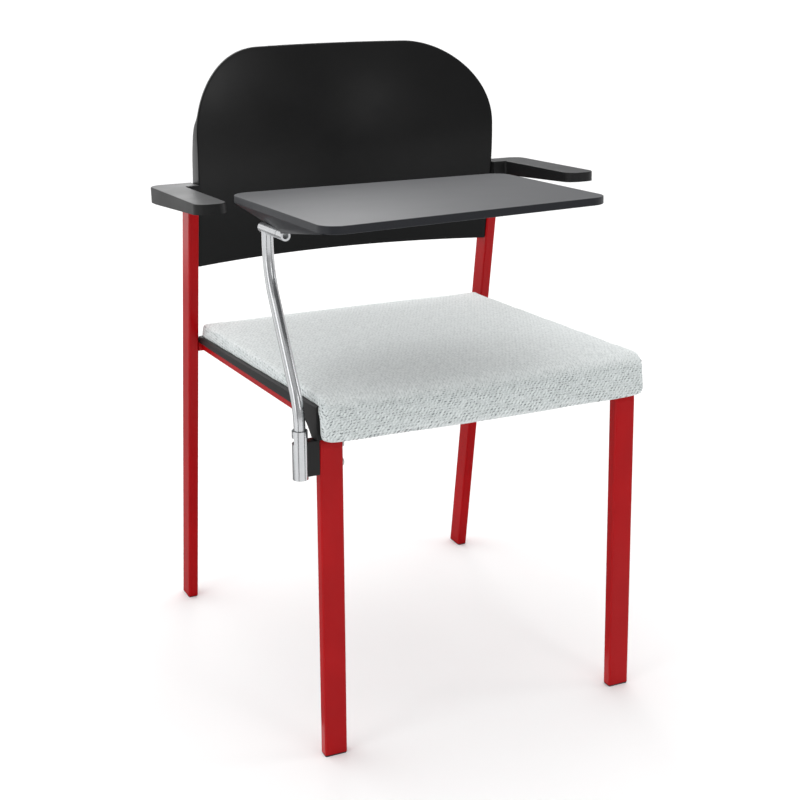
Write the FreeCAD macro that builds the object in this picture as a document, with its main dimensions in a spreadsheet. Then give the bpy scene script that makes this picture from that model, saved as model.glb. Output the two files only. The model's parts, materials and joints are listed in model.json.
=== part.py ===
import FreeCAD, Part
import math
import operator
import os
from types import SimpleNamespace

import Sketcher
from FreeCAD import Placement, Rotation, Vector

# Tablet arm chair. It faces -Y, +Z is up, and right and left are the sitter's, so right is -X.
# Sizes are millimetres and degrees. Y sizes run backwards from the front face of the front legs at the
# floor, and are moved to the centre of the chair's outline when the pieces are placed.
driving = {
    # frame tube: its wide side faces forward in the front legs and sideways in the rear legs
    "tube_wide": 30,
    "tube_thin": 15,
    "tube_wall": 1.5,
    "tube_corner": 2.5,
    # front legs, each bent back into a side rail
    "front_splay": 0.59,
    "front_rake": 1.57,
    "leg_bend": 34,
    "weld_gap": 0.3,
    # rear legs, straight from the floor to the arms
    "rear_leg_x": 234,
    "rear_foot_y": 512,
    "rear_lean": 8.19,
    "rail_gap": 0.56,
    "front_rail_y": 110,
    # plastic glides in the feet
    "glide_sole": 1.5,
    "glide_inset": 0.6,
    "glide_plug": 18,
    "glide_fit": 0.2,
    "foot_reveal": 0.4,
    # seat: depths are measured down from its top plane, which is this high above the front legs' face
    "seat_height": 474.6,
    "seat_tilt": 3.08,
    "seat_rear_gap": 11.24,
    "pad_gap": 1.5,
    "seat_crown": 5,
    "seat_edge": 6,
    "seat_front": 17,
    "seat_bow": 9,
    "seat_corner": 14,
    "seat_waterfall": 26,
    "apron_depth": 58,
    "soft_gap": 0.3,
    "board_thick": 8,
    "board_gap": 2,
    "board_corner": 12,
    "pan_gap": 0.5,
    "pan_wall": 5,
    "pan_rim": 10,
    "pan_rim_rear": 17,
    "pan_floor": 19,
    "pan_plate": 4,
    "pan_front": 9.5,
    "pan_front_wall": 3,
    "pan_rear_wall": 2.5,
    "pan_side": 25.5,
    "pan_cheek": 52,
    "cheek_start": 78,
    "cheek_knee_y": 42,
    "cheek_knee": 37,
    "cheek_end": 27,
    "pan_bevel": 2,
    "seat_screw_front": 150,
    "seat_screw_inset": 78,
    "seat_screw_shank": 5,
    "seat_screw_head": 11,
    "seat_screw_grip": 6,
    "screw_head_height": 3,
    "screw_clearance": 0.7,
    "thread_clearance": 0.1,
    # back shell between the rear legs
    "back_rise": 63.4,
    "back_height": 292,
    "back_gap": 0.3,
    "back_setback": 2.5,
    "back_panel": 6,
    "back_flange": 28,
    "back_flange_wall": 4,
    "back_straight": 100,
    "back_curve": 385,
    "back_sag_bottom": 36,
    "back_sag_top": 60,
    "back_top_corner": 114,
    "back_foot_corner": 2,
    "back_fade_start": 140,
    "back_fade_end": 235,
    "back_screw_low": 24,
    "back_screw_drop": 16,
    "back_screw_shank": 4,
    "back_screw_head": 7,
    "back_screw_reach": 9,
    # arms on top of the rear legs
    "arm_rise": 204.4,
    "arm_offset": 13,
    "arm_width": 42.5,
    "arm_length": 220,
    "arm_tail": 15.4,
    "arm_notch_reach": 38,
    "arm_thick": 21,
    "arm_tip_thick": 13,
    "arm_tip_corner": 17,
    "arm_rear_corner": 20,
    "arm_small_corner": 3,
    "arm_edge": 1.5,
    "arm_spigot": 30,
    "arm_fit": 0.95,
    # tablet socket on the right front leg
    "socket_offset": 33,
    "socket_shift": 0.275,
    "socket_drop": 101.6,
    "socket_length": 61,
    "socket_wall": 1.5,
    "bush_wall": 0.9,
    "bush_length": 8,
    "bush_floor": 2,
    "bush_fit": 0.05,
    "slot_drop": 8.5,
    "slot_play": 2.5,
    "slot_margin": 21.5,
    "block_rise": 4,
    "block_height": 43,
    "block_depth": 15,
    "block_leg_gap": 0.1,
    "bolt_spacing": 24,
    "bolt_shank": 5,
    "bolt_head": 9,
    "bolt_reach": 8,
    # bent post that turns in the socket
    "post_outer": 14,
    "post_wall": 1.5,
    "post_setback": 91,
    "post_lean": 32,
    "post_collar": 2,
    "post_lower_bend": 80,
    "post_upper_bend": 124,
    "pin_size": 5,
    "pin_inset": 0.5,
    "swivel_travel": 90,
    # barrel hinge at the top of the post
    "barrel_outer": 12,
    "barrel_start": 70,
    "barrel_end": 126,
    "barrel_reveal": 3.5,
    "barrel_gap": 0.4,
    "knuckle_start": 51,
    "hinge_pin_size": 7,
    "hinge_pin_recess": 9,
    "running_fit": 0.05,
    "washer_thick": 1,
    "washer_size": 10.5,
    "cap_thick": 2,
    "side_play": 0.1,
    "saddle_rise": 4,
    "stop_start": 100,
    "stop_length": 20,
    "stop_reach": 21,
    "stop_thick": 3,
    # tablet: depths are measured down from its top plane
    "tablet_rise": 218.85,
    "tablet_thick": 9.5,
    "tablet_rear_overhang": 11.8,
    "tablet_front_overhang": 11.5,
    "tablet_rear_width": 373.2,
    "tablet_front_width": 372,
    "tablet_rear_left_y": 213,
    "tablet_front_left_y": 100,
    "tablet_front_right_y": 68,
    "tablet_rear_right_y": 196,
    "tablet_corner": 24,
    "tablet_edge": 1.2,
    "housing_depth": 18,
    "housing_inset": 2,
    "housing_end_gap": 14,
    "housing_reach": 75,
    "housing_foot_front": 6,
    "housing_foot_rear": 6,
    "housing_foot_far": 41,
    "housing_foot_start": 50,
    "housing_foot_end": 128,
    "housing_wall": 2.5,
    "leaf_thick": 3,
    "leaf_start": 53,
    "leaf_end": 134,
    "leaf_width": 52,
    "leaf_web_end": 67,
    "leaf_slot_gap": 0.6,
    "tablet_screw_shank": 4,
    "tablet_screw_head": 8,
    "tablet_screw_grip": 6,
}

doc = FreeCAD.newDocument("tablet_arm_chair")
sheet = doc.addObject("Spreadsheet::Sheet", "Sizes")
for row, (name, number) in enumerate(driving.items(), start=1):
    sheet.set(f"A{row}", name)
    sheet.set(f"B{row}", str(number))
    sheet.setAlias(f"B{row}", name)
doc.recompute()


# A size that carries both its number and its formula on the sheet, so that one sum serves both.
class Size:
    def __init__(self, number, formula):
        self.number = number
        self.formula = formula

    def __add__(self, other):
        return combine(operator.add, "+", self, other)

    def __radd__(self, other):
        return combine(operator.add, "+", other, self)

    def __sub__(self, other):
        return combine(operator.sub, "-", self, other)

    def __rsub__(self, other):
        return combine(operator.sub, "-", other, self)

    def __mul__(self, other):
        return combine(operator.mul, "*", self, other)

    def __rmul__(self, other):
        return combine(operator.mul, "*", other, self)

    def __truediv__(self, other):
        return combine(operator.truediv, "/", self, other)

    def __rtruediv__(self, other):
        return combine(operator.truediv, "/", other, self)

    def __neg__(self):
        return 0 - self


def as_size(value):
    return value if isinstance(value, Size) else Size(float(value), str(value))


def combine(operation, sign, left, right):
    left = as_size(left)
    right = as_size(right)
    return Size(operation(left.number, right.number), f"({left.formula} {sign} {right.formula})")


def sine(angle):
    return Size(math.sin(math.radians(angle.number)), f"sin({angle.formula})")


def cosine(angle):
    return Size(math.cos(math.radians(angle.number)), f"cos({angle.formula})")


def tangent(angle):
    return Size(math.tan(math.radians(angle.number)), f"tan({angle.formula})")


dim = SimpleNamespace(**{name: Size(float(sheet.get(name)), "Sizes." + name) for name in driving})

# Worked-out sizes that several pieces share
zero = as_size(0)
right = -1
left = 1
sides = {"right": right, "left": left}

# Heights follow the seat
dim.back_bottom = dim.seat_height + dim.back_rise
dim.arm_height = dim.seat_height + dim.arm_rise
dim.tablet_height = dim.seat_height + dim.tablet_rise
dim.socket_bottom = dim.seat_height - dim.socket_drop
dim.socket_top = dim.socket_bottom + dim.socket_length
dim.slot_high = dim.socket_top - dim.slot_drop
dim.slot_low = dim.slot_high - dim.pin_size - dim.slot_play
dim.block_low = dim.socket_bottom + dim.block_rise
dim.block_high = dim.block_low + dim.block_height
dim.post_bend_start = dim.socket_top + dim.post_collar
pin_z = (dim.slot_low + dim.slot_high) / 2

# Fits of the post in its socket and of the barrel under the tablet
dim.socket_outer = dim.post_outer + 2 * (dim.running_fit + dim.bush_wall + dim.bush_fit + dim.socket_wall)
dim.pin_tail = dim.post_outer / 2 - dim.pin_inset
dim.pin_reach = dim.socket_outer / 2 - dim.soft_gap
dim.barrel_drop = dim.tablet_thick + dim.housing_depth + dim.barrel_reveal

# Widths follow the rear legs
rear_depth = dim.tube_wide / cosine(dim.rear_lean)
rear_centre_y = dim.rear_foot_y + rear_depth / 2
rear_inner_x = dim.rear_leg_x - dim.tube_thin / 2
dim.pan_width = 2 * (rear_inner_x - dim.pan_gap)
dim.seat_width = dim.pan_width - 2 * (dim.pan_wall + dim.pad_gap)
dim.arm_inner = dim.rear_leg_x + dim.arm_offset
dim.arm_outer = dim.arm_inner + dim.arm_width
rail_x = dim.pan_width / 2 - dim.pan_wall - dim.rail_gap - dim.tube_wide / 2
rail_top = dim.pan_floor + dim.pan_plate
rail_depth = rail_top + dim.weld_gap + dim.tube_thin / 2


# The seat, the arms and the tablet share one backward tilt. Each has its own tilted frame, whose origin is
# its top plane above the front legs' face.
def into_frame(height, y, z):
    along = y * cosine(dim.seat_tilt) - (z - height) * sine(dim.seat_tilt)
    up = y * sine(dim.seat_tilt) + (z - height) * cosine(dim.seat_tilt)
    return along, up


def plane_height(height, depth, y):
    return height - depth / cosine(dim.seat_tilt) - y * tangent(dim.seat_tilt)


# Where a tilted plane of a frame crosses the line of a leg
def rear_crossing(height, depth):
    z = plane_height(height, depth, rear_centre_y) / (1 - tangent(dim.rear_lean) * tangent(dim.seat_tilt))
    return rear_centre_y - z * tangent(dim.rear_lean), z


front_centre_y = dim.tube_thin / 2 / cosine(dim.front_rake)
corner_z = plane_height(dim.seat_height, rail_depth, front_centre_y) / (
    1 + tangent(dim.front_rake) * tangent(dim.seat_tilt))
corner_y = front_centre_y + corner_z * tangent(dim.front_rake)
corner_along = into_frame(dim.seat_height, corner_y, corner_z)[0]
dim.front_foot_x = rail_x + corner_z * tangent(dim.front_splay)
dim.socket_x = dim.front_foot_x + dim.socket_offset
block_middle = (dim.block_low + dim.block_high) / 2
dim.socket_y = front_centre_y + block_middle * tangent(dim.front_rake) + dim.socket_shift
rear_rail_y, rear_rail_z = rear_crossing(dim.seat_height, rail_depth)
rear_rail_along = into_frame(dim.seat_height, rear_rail_y, rear_rail_z)[0]
dim.seat_depth = rear_rail_along - dim.seat_rear_gap
seat_screw_places = [dim.seat_screw_front, dim.seat_depth - dim.seat_screw_inset]
post_top_y, post_top_z = rear_crossing(dim.arm_height, dim.arm_thick)
dim.arm_rear = into_frame(dim.arm_height, post_top_y, post_top_z)[0] + dim.arm_tail
dim.arm_notch = dim.arm_rear - dim.arm_notch_reach
dim.arm_front = dim.arm_rear - dim.arm_length
back_screw_heights = [dim.back_bottom + dim.back_screw_low, post_top_z - dim.back_screw_drop]

# The tablet hangs over the post, and its front edge and the rear feet end the chair's outline
dim.tablet_rear_left_x = dim.socket_x + dim.tablet_rear_overhang
dim.tablet_front_left_x = dim.socket_x + dim.tablet_front_overhang
dim.tablet_rear_right_x = dim.tablet_rear_width - dim.tablet_rear_left_x
dim.tablet_front_right_x = dim.tablet_front_width - dim.tablet_front_left_x
tablet_slope = (dim.tablet_front_left_y - dim.tablet_front_right_y) / dim.tablet_front_width
chair_front = (dim.tablet_corner * tablet_slope - dim.tablet_front_left_y) * cosine(dim.seat_tilt) - (
    dim.tablet_thick * sine(dim.seat_tilt))
chair_rear = dim.rear_foot_y + rear_depth
origin_y = (chair_front + chair_rear) / 2
post_y = dim.socket_y + dim.post_setback
barrel_z = plane_height(dim.tablet_height, dim.barrel_drop, post_y)
pieces = []


# Features
def bind(feature, entry, size):
    feature.setExpression(entry, as_size(size).formula)


def new_body(name):
    body = doc.addObject("PartDesign::Body", name)
    body.Label = name
    pieces.append(body)
    return body


def place(piece, x, y, z, axis=Vector(0, 0, 1), angle=zero):
    base = [as_size(x), y - origin_y, as_size(z)]
    turn = Rotation(axis, angle.number)
    piece.Placement = Placement(Vector(*[size.number for size in base]), turn)
    for entry, size in zip("xyz", base):
        bind(piece, "Placement.Base." + entry, size)
    if angle.number:
        bind(piece, "Placement.Rotation.Angle", angle)


def place_tilted(piece, height):
    place(piece, 0, zero, height, Vector(-1, 0, 0), dim.seat_tilt)


def sketch_on(body, role, name, offset=None):
    plane = next(item for item in body.Origin.OriginFeatures if item.Role == role)
    sketch = body.newObject("Sketcher::SketchObject", body.Name + "_" + name)
    sketch.AttachmentSupport = [(plane, "")]
    sketch.MapMode = "FlatFace"
    if offset is not None:
        sketch.AttachmentOffset = Placement(Vector(0, 0, offset.number), Rotation())
        bind(sketch, "AttachmentOffset.Base.z", offset)
    return sketch


def constrain(sketch, kind, *arguments, size):
    index = sketch.addConstraint(Sketcher.Constraint(kind, *arguments, as_size(size).number))
    label = f"size_{index}"
    sketch.renameConstraint(index, label)
    bind(sketch, "Constraints." + label, size)


def pin_point(sketch, line, end, x, y):
    constrain(sketch, "DistanceX", -1, 1, line, end, size=x)
    constrain(sketch, "DistanceY", -1, 1, line, end, size=y)


def flat_point(x, y):
    return Vector(as_size(x).number, as_size(y).number, 0)


def draw_polygon(sketch, corners):
    first = sketch.GeometryCount
    count = len(corners)
    for index, corner in enumerate(corners):
        after = corners[(index + 1) % count]
        sketch.addGeometry(Part.LineSegment(flat_point(*corner), flat_point(*after)))
    for index, corner in enumerate(corners):
        sketch.addConstraint(Sketcher.Constraint("Coincident", first + index, 2, first + (index + 1) % count, 1))
    for index, corner in enumerate(corners):
        pin_point(sketch, first + index, 1, *corner)


def draw_circle(sketch, x, y, size):
    index = sketch.addGeometry(Part.Circle(flat_point(x, y), Vector(0, 0, 1), as_size(size).number / 2))
    pin_point(sketch, index, 3, x, y)
    constrain(sketch, "Diameter", index, size=size)


def draw_rounded_box(sketch, width, depth, corner):
    first = sketch.GeometryCount
    x = width.number / 2
    y = depth.number / 2
    r = corner.number
    ways = [(1, -1), (1, 1), (-1, 1), (-1, -1)]
    starts = [Vector(-x + r, -y, 0), Vector(x, -y + r, 0), Vector(x - r, y, 0), Vector(-x, y - r, 0)]
    ends = [Vector(x - r, -y, 0), Vector(x, y - r, 0), Vector(-x + r, y, 0), Vector(-x, -y + r, 0)]
    for index, (way_x, way_y) in enumerate(ways):
        sketch.addGeometry(Part.LineSegment(starts[index], ends[index]))
        centre = Vector(way_x * (x - r), way_y * (y - r), 0)
        circle = Part.Circle(centre, Vector(0, 0, 1), r)
        angle = math.radians(90 * index - 90)
        sketch.addGeometry(Part.ArcOfCircle(circle, angle, angle + math.pi / 2))
    for index in range(4):
        line = first + 2 * index
        arc = line + 1
        after = first + (2 * index + 2) % 8
        sketch.addConstraint(Sketcher.Constraint("Tangent", line, 2, arc, 1))
        sketch.addConstraint(Sketcher.Constraint("Tangent", arc, 2, after, 1))
        sketch.addConstraint(Sketcher.Constraint("Horizontal" if index % 2 == 0 else "Vertical", line))
    for index in range(3):
        sketch.addConstraint(Sketcher.Constraint("Equal", first + 1, first + 3 + 2 * index))
    sketch.addConstraint(Sketcher.Constraint("Symmetric", first + 1, 3, first + 5, 3, -1, 1))
    constrain(sketch, "Radius", first + 1, size=corner)
    constrain(sketch, "DistanceX", first + 6, 1, first + 2, 1, size=width)
    constrain(sketch, "DistanceY", first, 1, first + 4, 1, size=depth)


def draw_tube(sketch, width, depth, wall_x, wall_y):
    draw_rounded_box(sketch, width, depth, dim.tube_corner)
    draw_rounded_box(sketch, width - 2 * wall_x, depth - 2 * wall_y, dim.tube_corner - dim.tube_wall)


def pad(body, sketch, length, reverse=False, midplane=False, direction=None):
    feature = body.newObject("PartDesign::Pad", sketch.Name + "_pad")
    feature.Profile = sketch
    bind(feature, "Length", length)
    feature.Reversed = reverse
    feature.Midplane = midplane
    if direction is not None:
        feature.UseCustomVector = True
        feature.Direction = direction
        feature.AlongSketchNormal = True
    doc.recompute()
    return feature


def pocket(body, sketch, length=None, reverse=False):
    before = body.Shape.Volume
    feature = body.newObject("PartDesign::Pocket", sketch.Name + "_pocket")
    feature.Profile = sketch
    feature.Reversed = reverse
    if length is None:
        feature.Type = "ThroughAll"
        feature.Midplane = True
    else:
        bind(feature, "Length", length)
    doc.recompute()
    if body.Shape.Volume > before - 1e-3:
        raise RuntimeError(sketch.Name + " cuts nothing")


def dress(body, kind, entry, size, chosen):
    base = body.Tip
    names = [f"Edge{index}" for index, edge in enumerate(base.Shape.Edges, start=1) if chosen(edge)]
    if not names:
        raise RuntimeError(body.Name + " has no edge to dress")
    feature = body.newObject("PartDesign::" + kind, body.Name + "_" + kind)
    feature.Base = (base, names)
    bind(feature, entry, size)
    doc.recompute()


def fillet(body, radius, chosen):
    dress(body, "Fillet", "Radius", radius, chosen)


def spans(edge, axis):
    box = edge.BoundBox
    lengths = {"X": box.XLength, "Y": box.YLength, "Z": box.ZLength}
    return lengths.pop(axis) > 0.5 and max(lengths.values()) < 0.01


def near(edge, x=None, y=None, z=None):
    centre = edge.BoundBox.Center
    pairs = [(x, centre.x), (y, centre.y), (z, centre.z)]
    return all(abs(as_size(want).number - have) < 0.05 for want, have in pairs if want is not None)


def upright_at(*corners):
    return lambda edge: spans(edge, "Z") and any(near(edge, x=x, y=y) for x, y in corners)


def ring(name, outer, inner, length, start=zero, role="XY_Plane", x=zero, y=zero, reverse=False):
    body = new_body(name)
    sketch = sketch_on(body, role, "ring", start)
    draw_circle(sketch, x, y, outer)
    if inner is not None:
        draw_circle(sketch, x, y, inner)
    pad(body, sketch, length, reverse)
    return body


# A plain screw along its own +Z: the head lies below zero and the shank above.
def new_screw(name, head, shank, length):
    cap = doc.addObject("Part::Cylinder", name + "_head")
    bind(cap, "Radius", head / 2)
    bind(cap, "Height", dim.screw_head_height)
    cap.Placement.Base = Vector(0, 0, -dim.screw_head_height.number)
    bind(cap, "Placement.Base.z", -dim.screw_head_height)
    stem = doc.addObject("Part::Cylinder", name + "_stem")
    bind(stem, "Radius", shank / 2)
    bind(stem, "Height", length)
    screw = doc.addObject("Part::Fuse", name)
    screw.Base = cap
    screw.Tool = stem
    return screw


def group(name, screws):
    bunch = doc.addObject("Part::Compound", name)
    bunch.Label = name
    bunch.Links = screws
    pieces.append(bunch)


# Frame
def leg_turn(side):
    splay = Rotation(Vector(0, 1, 0), -side * dim.front_splay.number)
    rake = Rotation(Vector(1, 0, 0), -dim.front_rake.number)
    return splay * rake


def make_front_leg(word, side):
    body = new_body("front_leg_" + word)
    profile = sketch_on(body, "XY_Plane", "profile", dim.glide_sole + dim.foot_reveal)
    draw_tube(profile, dim.tube_wide, dim.tube_thin, dim.tube_wall, dim.tube_wall)
    fall = dim.seat_tilt - dim.front_rake
    leg_length = corner_z / cosine(dim.front_rake)
    rail_length = rear_rail_along - dim.tube_wide / 2 - dim.weld_gap - corner_along
    end_y = rail_length * cosine(fall)
    end_z = leg_length - rail_length * sine(fall)
    reach = dim.leg_bend.number * math.tan(math.radians(90 + fall.number) / 2)
    foot = flat_point(0, dim.glide_sole + dim.foot_reveal)
    bend_start = flat_point(0, leg_length - reach)
    slope = math.radians(-fall.number)
    bend_end = flat_point(reach * math.cos(slope), leg_length + reach * math.sin(slope))
    centre = bend_start + Vector(dim.leg_bend.number, 0, 0)
    circle = Part.Circle(centre, Vector(0, 0, 1), dim.leg_bend.number)
    spine = sketch_on(body, "YZ_Plane", "spine")
    spine.addGeometry(Part.LineSegment(foot, bend_start))
    spine.addGeometry(Part.ArcOfCircle(circle, math.pi / 2 + slope, math.pi))
    spine.addGeometry(Part.LineSegment(bend_end, flat_point(end_y, end_z)))
    spine.addConstraint(Sketcher.Constraint("Tangent", 0, 2, 1, 2))
    spine.addConstraint(Sketcher.Constraint("Tangent", 1, 1, 2, 1))
    spine.addConstraint(Sketcher.Constraint("Vertical", 0))
    pin_point(spine, 0, 1, zero, dim.glide_sole + dim.foot_reveal)
    constrain(spine, "Radius", 1, size=dim.leg_bend)
    pin_point(spine, 2, 2, end_y, end_z)
    constrain(spine, "DistanceY", 2, 2, 2, 1, size=(rail_length - dim.leg_bend * tangent((90 + fall) / 2))
              * sine(fall))
    doc.recompute()
    pipe = body.newObject("PartDesign::AdditivePipe", body.Name + "_pipe")
    pipe.Profile = profile
    pipe.Spine = (spine, ["Edge1", "Edge2", "Edge3"])
    doc.recompute()
    drill = sketch_on(body, "XY_Plane", "screw_holes")
    for along in seat_screw_places:
        draw_circle(drill, zero, (along - corner_along) * cosine(fall), dim.seat_screw_shank
                    + 2 * dim.screw_clearance)
    pocket(body, drill)
    if side == right:
        bores = sketch_on(body, "YZ_Plane", "bolt_holes")
        for place_z in bolt_heights():
            draw_circle(bores, zero, place_z / cosine(dim.front_rake), dim.bolt_shank + 2 * dim.screw_clearance)
        pocket(body, bores)
    place(body, side * dim.front_foot_x, front_centre_y, 0)
    body.Placement.Rotation = leg_turn(side)


def bolt_heights():
    return [block_middle - dim.bolt_spacing / 2, block_middle + dim.bolt_spacing / 2]


def make_rear_leg(word, side):
    body = new_body("rear_leg_" + word)
    profile = sketch_on(body, "XY_Plane", "profile", dim.glide_sole)
    draw_tube(profile, dim.tube_thin, rear_depth, dim.tube_wall, dim.tube_wall / cosine(dim.rear_lean))
    lean = Vector(0, -tangent(dim.rear_lean).number, 1)
    pad(body, profile, post_top_z + dim.tube_wide, direction=lean)
    # the top is cut along the underside of the arm
    trim = sketch_on(body, "YZ_Plane", "trim")
    front_y = -post_top_z * tangent(dim.rear_lean) - dim.tube_wide
    rear_y = -post_top_z * tangent(dim.rear_lean) + dim.tube_wide
    under_arm = dim.arm_thick + dim.weld_gap
    front_z = plane_height(dim.arm_height, under_arm, rear_centre_y + front_y)
    rear_z = plane_height(dim.arm_height, under_arm, rear_centre_y + rear_y)
    above = front_z + 3 * dim.tube_wide
    draw_polygon(trim, [(front_y, front_z), (rear_y, rear_z), (rear_y, above), (front_y, above)])
    pocket(body, trim)
    drill = sketch_on(body, "YZ_Plane", "screw_holes")
    for place_z in back_screw_heights:
        draw_circle(drill, -place_z * tangent(dim.rear_lean), place_z,
                    dim.back_screw_shank + 2 * dim.thread_clearance)
    pocket(body, drill, dim.tube_thin, reverse=side == right)
    place(body, side * dim.rear_leg_x, rear_centre_y, 0)


def make_cross_rail(name, along, half_length):
    body = new_body(name)
    sketch = sketch_on(body, "YZ_Plane", "profile")
    draw_tube(sketch, dim.tube_wide, dim.tube_thin, dim.tube_wall, dim.tube_wall)
    pad(body, sketch, 2 * half_length, midplane=True)
    y = along * cosine(dim.seat_tilt) - rail_depth * sine(dim.seat_tilt)
    z = dim.seat_height - along * sine(dim.seat_tilt) - rail_depth * cosine(dim.seat_tilt)
    place(body, 0, y, z, Vector(-1, 0, 0), dim.seat_tilt)


def make_glide(name, x, y, width, depth, direction):
    body = new_body(name)
    sole = sketch_on(body, "XY_Plane", "sole")
    draw_rounded_box(sole, width - 2 * dim.glide_inset, depth - 2 * dim.glide_inset,
                     dim.tube_corner - dim.glide_inset)
    pad(body, sole, dim.glide_sole)
    gap = 2 * (dim.tube_wall + dim.glide_fit)
    plug = sketch_on(body, "XY_Plane", "plug", dim.glide_sole)
    draw_rounded_box(plug, width - gap, depth - gap - dim.glide_fit, dim.tube_corner - dim.tube_wall)
    pad(body, plug, dim.glide_plug, direction=direction)
    place(body, x, y, 0)


# Seat
def make_seat_pan():
    body = new_body("seat_pan")
    half = dim.pan_width / 2
    rear = dim.seat_depth + dim.soft_gap + dim.pan_rear_wall
    block = sketch_on(body, "XY_Plane", "block", -dim.pan_cheek)
    draw_polygon(block, [(-half, dim.pan_front), (half, dim.pan_front), (half, rear), (-half, rear)])
    pad(body, block, dim.pan_cheek - dim.pan_rim)
    # tray for the board and the pad, open at the front
    inner = half - dim.pan_wall
    tray_rear = dim.seat_depth + dim.soft_gap
    tray = sketch_on(body, "XY_Plane", "tray", -dim.pan_floor)
    draw_polygon(tray, [(-inner, zero), (inner, zero), (inner, tray_rear), (-inner, tray_rear)])
    pocket(body, tray, dim.pan_floor, reverse=True)
    # underside, open to the rear, that sits over the frame tubes
    hollow_front = dim.pan_front + dim.pan_front_wall
    hollow_rear = rear + dim.tube_wide
    hollow = sketch_on(body, "XY_Plane", "hollow", -rail_top)
    draw_polygon(hollow, [(-inner, hollow_front), (inner, hollow_front), (inner, hollow_rear),
                          (-inner, hollow_rear)])
    pocket(body, hollow, dim.pan_cheek)
    # lower edge of the sides, deepening into the front cheeks
    below = dim.pan_cheek + dim.tube_thin
    edge = sketch_on(body, "YZ_Plane", "edge")
    rail_front = rear_rail_along - dim.tube_wide / 2 - dim.weld_gap
    draw_polygon(edge, [(dim.cheek_end, -dim.pan_cheek), (dim.cheek_knee_y, -dim.cheek_knee),
                        (dim.cheek_start, -dim.pan_side), (rail_front, -dim.pan_side), (rail_front, -rail_top),
                        (hollow_rear, -rail_top), (hollow_rear, -below), (dim.cheek_end, -below)])
    pocket(body, edge)
    # rim, falling towards the rear
    rim = sketch_on(body, "YZ_Plane", "rim")
    draw_polygon(rim, [(dim.pan_front, -dim.pan_rim), (rear, -dim.pan_rim_rear), (rear, zero),
                       (dim.pan_front, zero)])
    pocket(body, rim)
    drill = sketch_on(body, "XY_Plane", "screw_holes")
    for side in sides.values():
        for along in seat_screw_places:
            draw_circle(drill, side * rail_x, along, dim.seat_screw_shank + 2 * dim.screw_clearance)
    pocket(body, drill)
    knees = [(dim.cheek_knee_y, dim.cheek_knee), (dim.cheek_start, dim.pan_side)]
    fillet(body, dim.cheek_start - dim.cheek_knee_y, lambda edge: spans(edge, "X") and any(
        near(edge, y=y, z=-depth) for y, depth in knees))
    fillet(body, dim.pan_wall - 1, upright_at((-half, rear), (half, rear)))

    def on_rim(edge):
        level = abs(edge.BoundBox.ZMax + dim.pan_rim.number) < 0.05
        long = edge.BoundBox.YLength > dim.tube_wide.number
        return level and long and (near(edge, x=half) or near(edge, x=-half))

    dress(body, "Chamfer", "Size", dim.pan_bevel, on_rim)
    place_tilted(body, dim.seat_height)


def make_seat_board():
    body = new_body("seat_board")
    half = dim.pan_width / 2 - dim.pan_wall - dim.board_gap
    rear = dim.seat_depth - dim.board_gap
    front = dim.pan_front + dim.soft_gap
    sketch = sketch_on(body, "XY_Plane", "outline", -dim.pan_floor)
    corners = [(-half, front), (half, front), (half, rear), (-half, rear)]
    draw_polygon(sketch, corners)
    pad(body, sketch, dim.board_thick)
    fillet(body, dim.board_corner, upright_at(*corners))
    drill = sketch_on(body, "XY_Plane", "screw_holes", -dim.pan_floor)
    for side in sides.values():
        for along in seat_screw_places:
            draw_circle(drill, side * rail_x, along, dim.seat_screw_shank + 2 * dim.thread_clearance)
    pocket(body, drill, dim.seat_screw_grip + dim.thread_clearance, reverse=True)
    place_tilted(body, dim.seat_height)


# The upholstered pad is one loft across the seat. Its profile has a crowned top, a rounded front and an apron
# that hangs in front of the pan, and it draws in towards the two sides.
def round_in(distance, radius):
    past = max(0.0, distance)
    return radius - math.sqrt(max(0.0, radius * radius - past * past))


def cushion_profile(x):
    half = dim.seat_width.number / 2
    edge = dim.seat_edge.number
    corner = dim.seat_corner.number
    share = abs(x) / half
    drop = round_in(abs(x) - half + edge, edge)
    setback = round_in(abs(x) - half + corner, corner)
    front = -dim.seat_front.number + dim.seat_bow.number * share ** 2 + setback
    rear = dim.seat_depth.number
    under = -dim.pan_floor.number + dim.board_thick.number + dim.soft_gap.number
    back = dim.pan_front.number - dim.soft_gap.number
    low = -dim.apron_depth.number + setback
    bulge = dim.seat_crown.number * (1 - share ** 2)
    fall = dim.seat_waterfall.number - 1.2 * setback
    hem = 0.45 * (back - front)
    lip = edge * 0.8

    def spot(y, z):
        return Vector(x, y, z)

    def rounded(start, middle_of, end):
        middle = middle_of + ((start + end) / 2 - middle_of).normalize() * (start - middle_of).Length
        return Part.Arc(start, middle, end).toShape()

    def line(start, end):
        return Part.LineSegment(start, end).toShape()

    top = -drop
    rear_low = spot(rear, under)
    rear_side = spot(rear, top - lip)
    rear_top = spot(rear - lip, top)
    front_top = spot(front + fall, top)
    front_side = spot(front, top - fall)
    front_low = spot(front, low + hem)
    hem_front = spot(front + hem, low)
    hem_back = spot(back, low)
    back_top = spot(back, under)
    if top - lip < under:
        rear_side = spot(rear, (under + top) / 2)
        rear_top = spot(rear - (top - under) / 2, top)
    crown = spot((rear + front + fall) / 2, top + bulge)
    edges = [
        line(rear_low, rear_side),
        rounded(rear_side, spot(rear_top.y, rear_side.z), rear_top),
        Part.Arc(rear_top, crown, front_top).toShape() if bulge > 0.01 else line(rear_top, front_top),
        rounded(front_top, spot(front_top.y, front_side.z), front_side),
        line(front_side, front_low),
        rounded(front_low, spot(hem_front.y, front_low.z), hem_front),
        line(hem_front, hem_back),
        line(hem_back, back_top),
        line(back_top, rear_low),
    ]
    return Part.Wire(edges)


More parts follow.
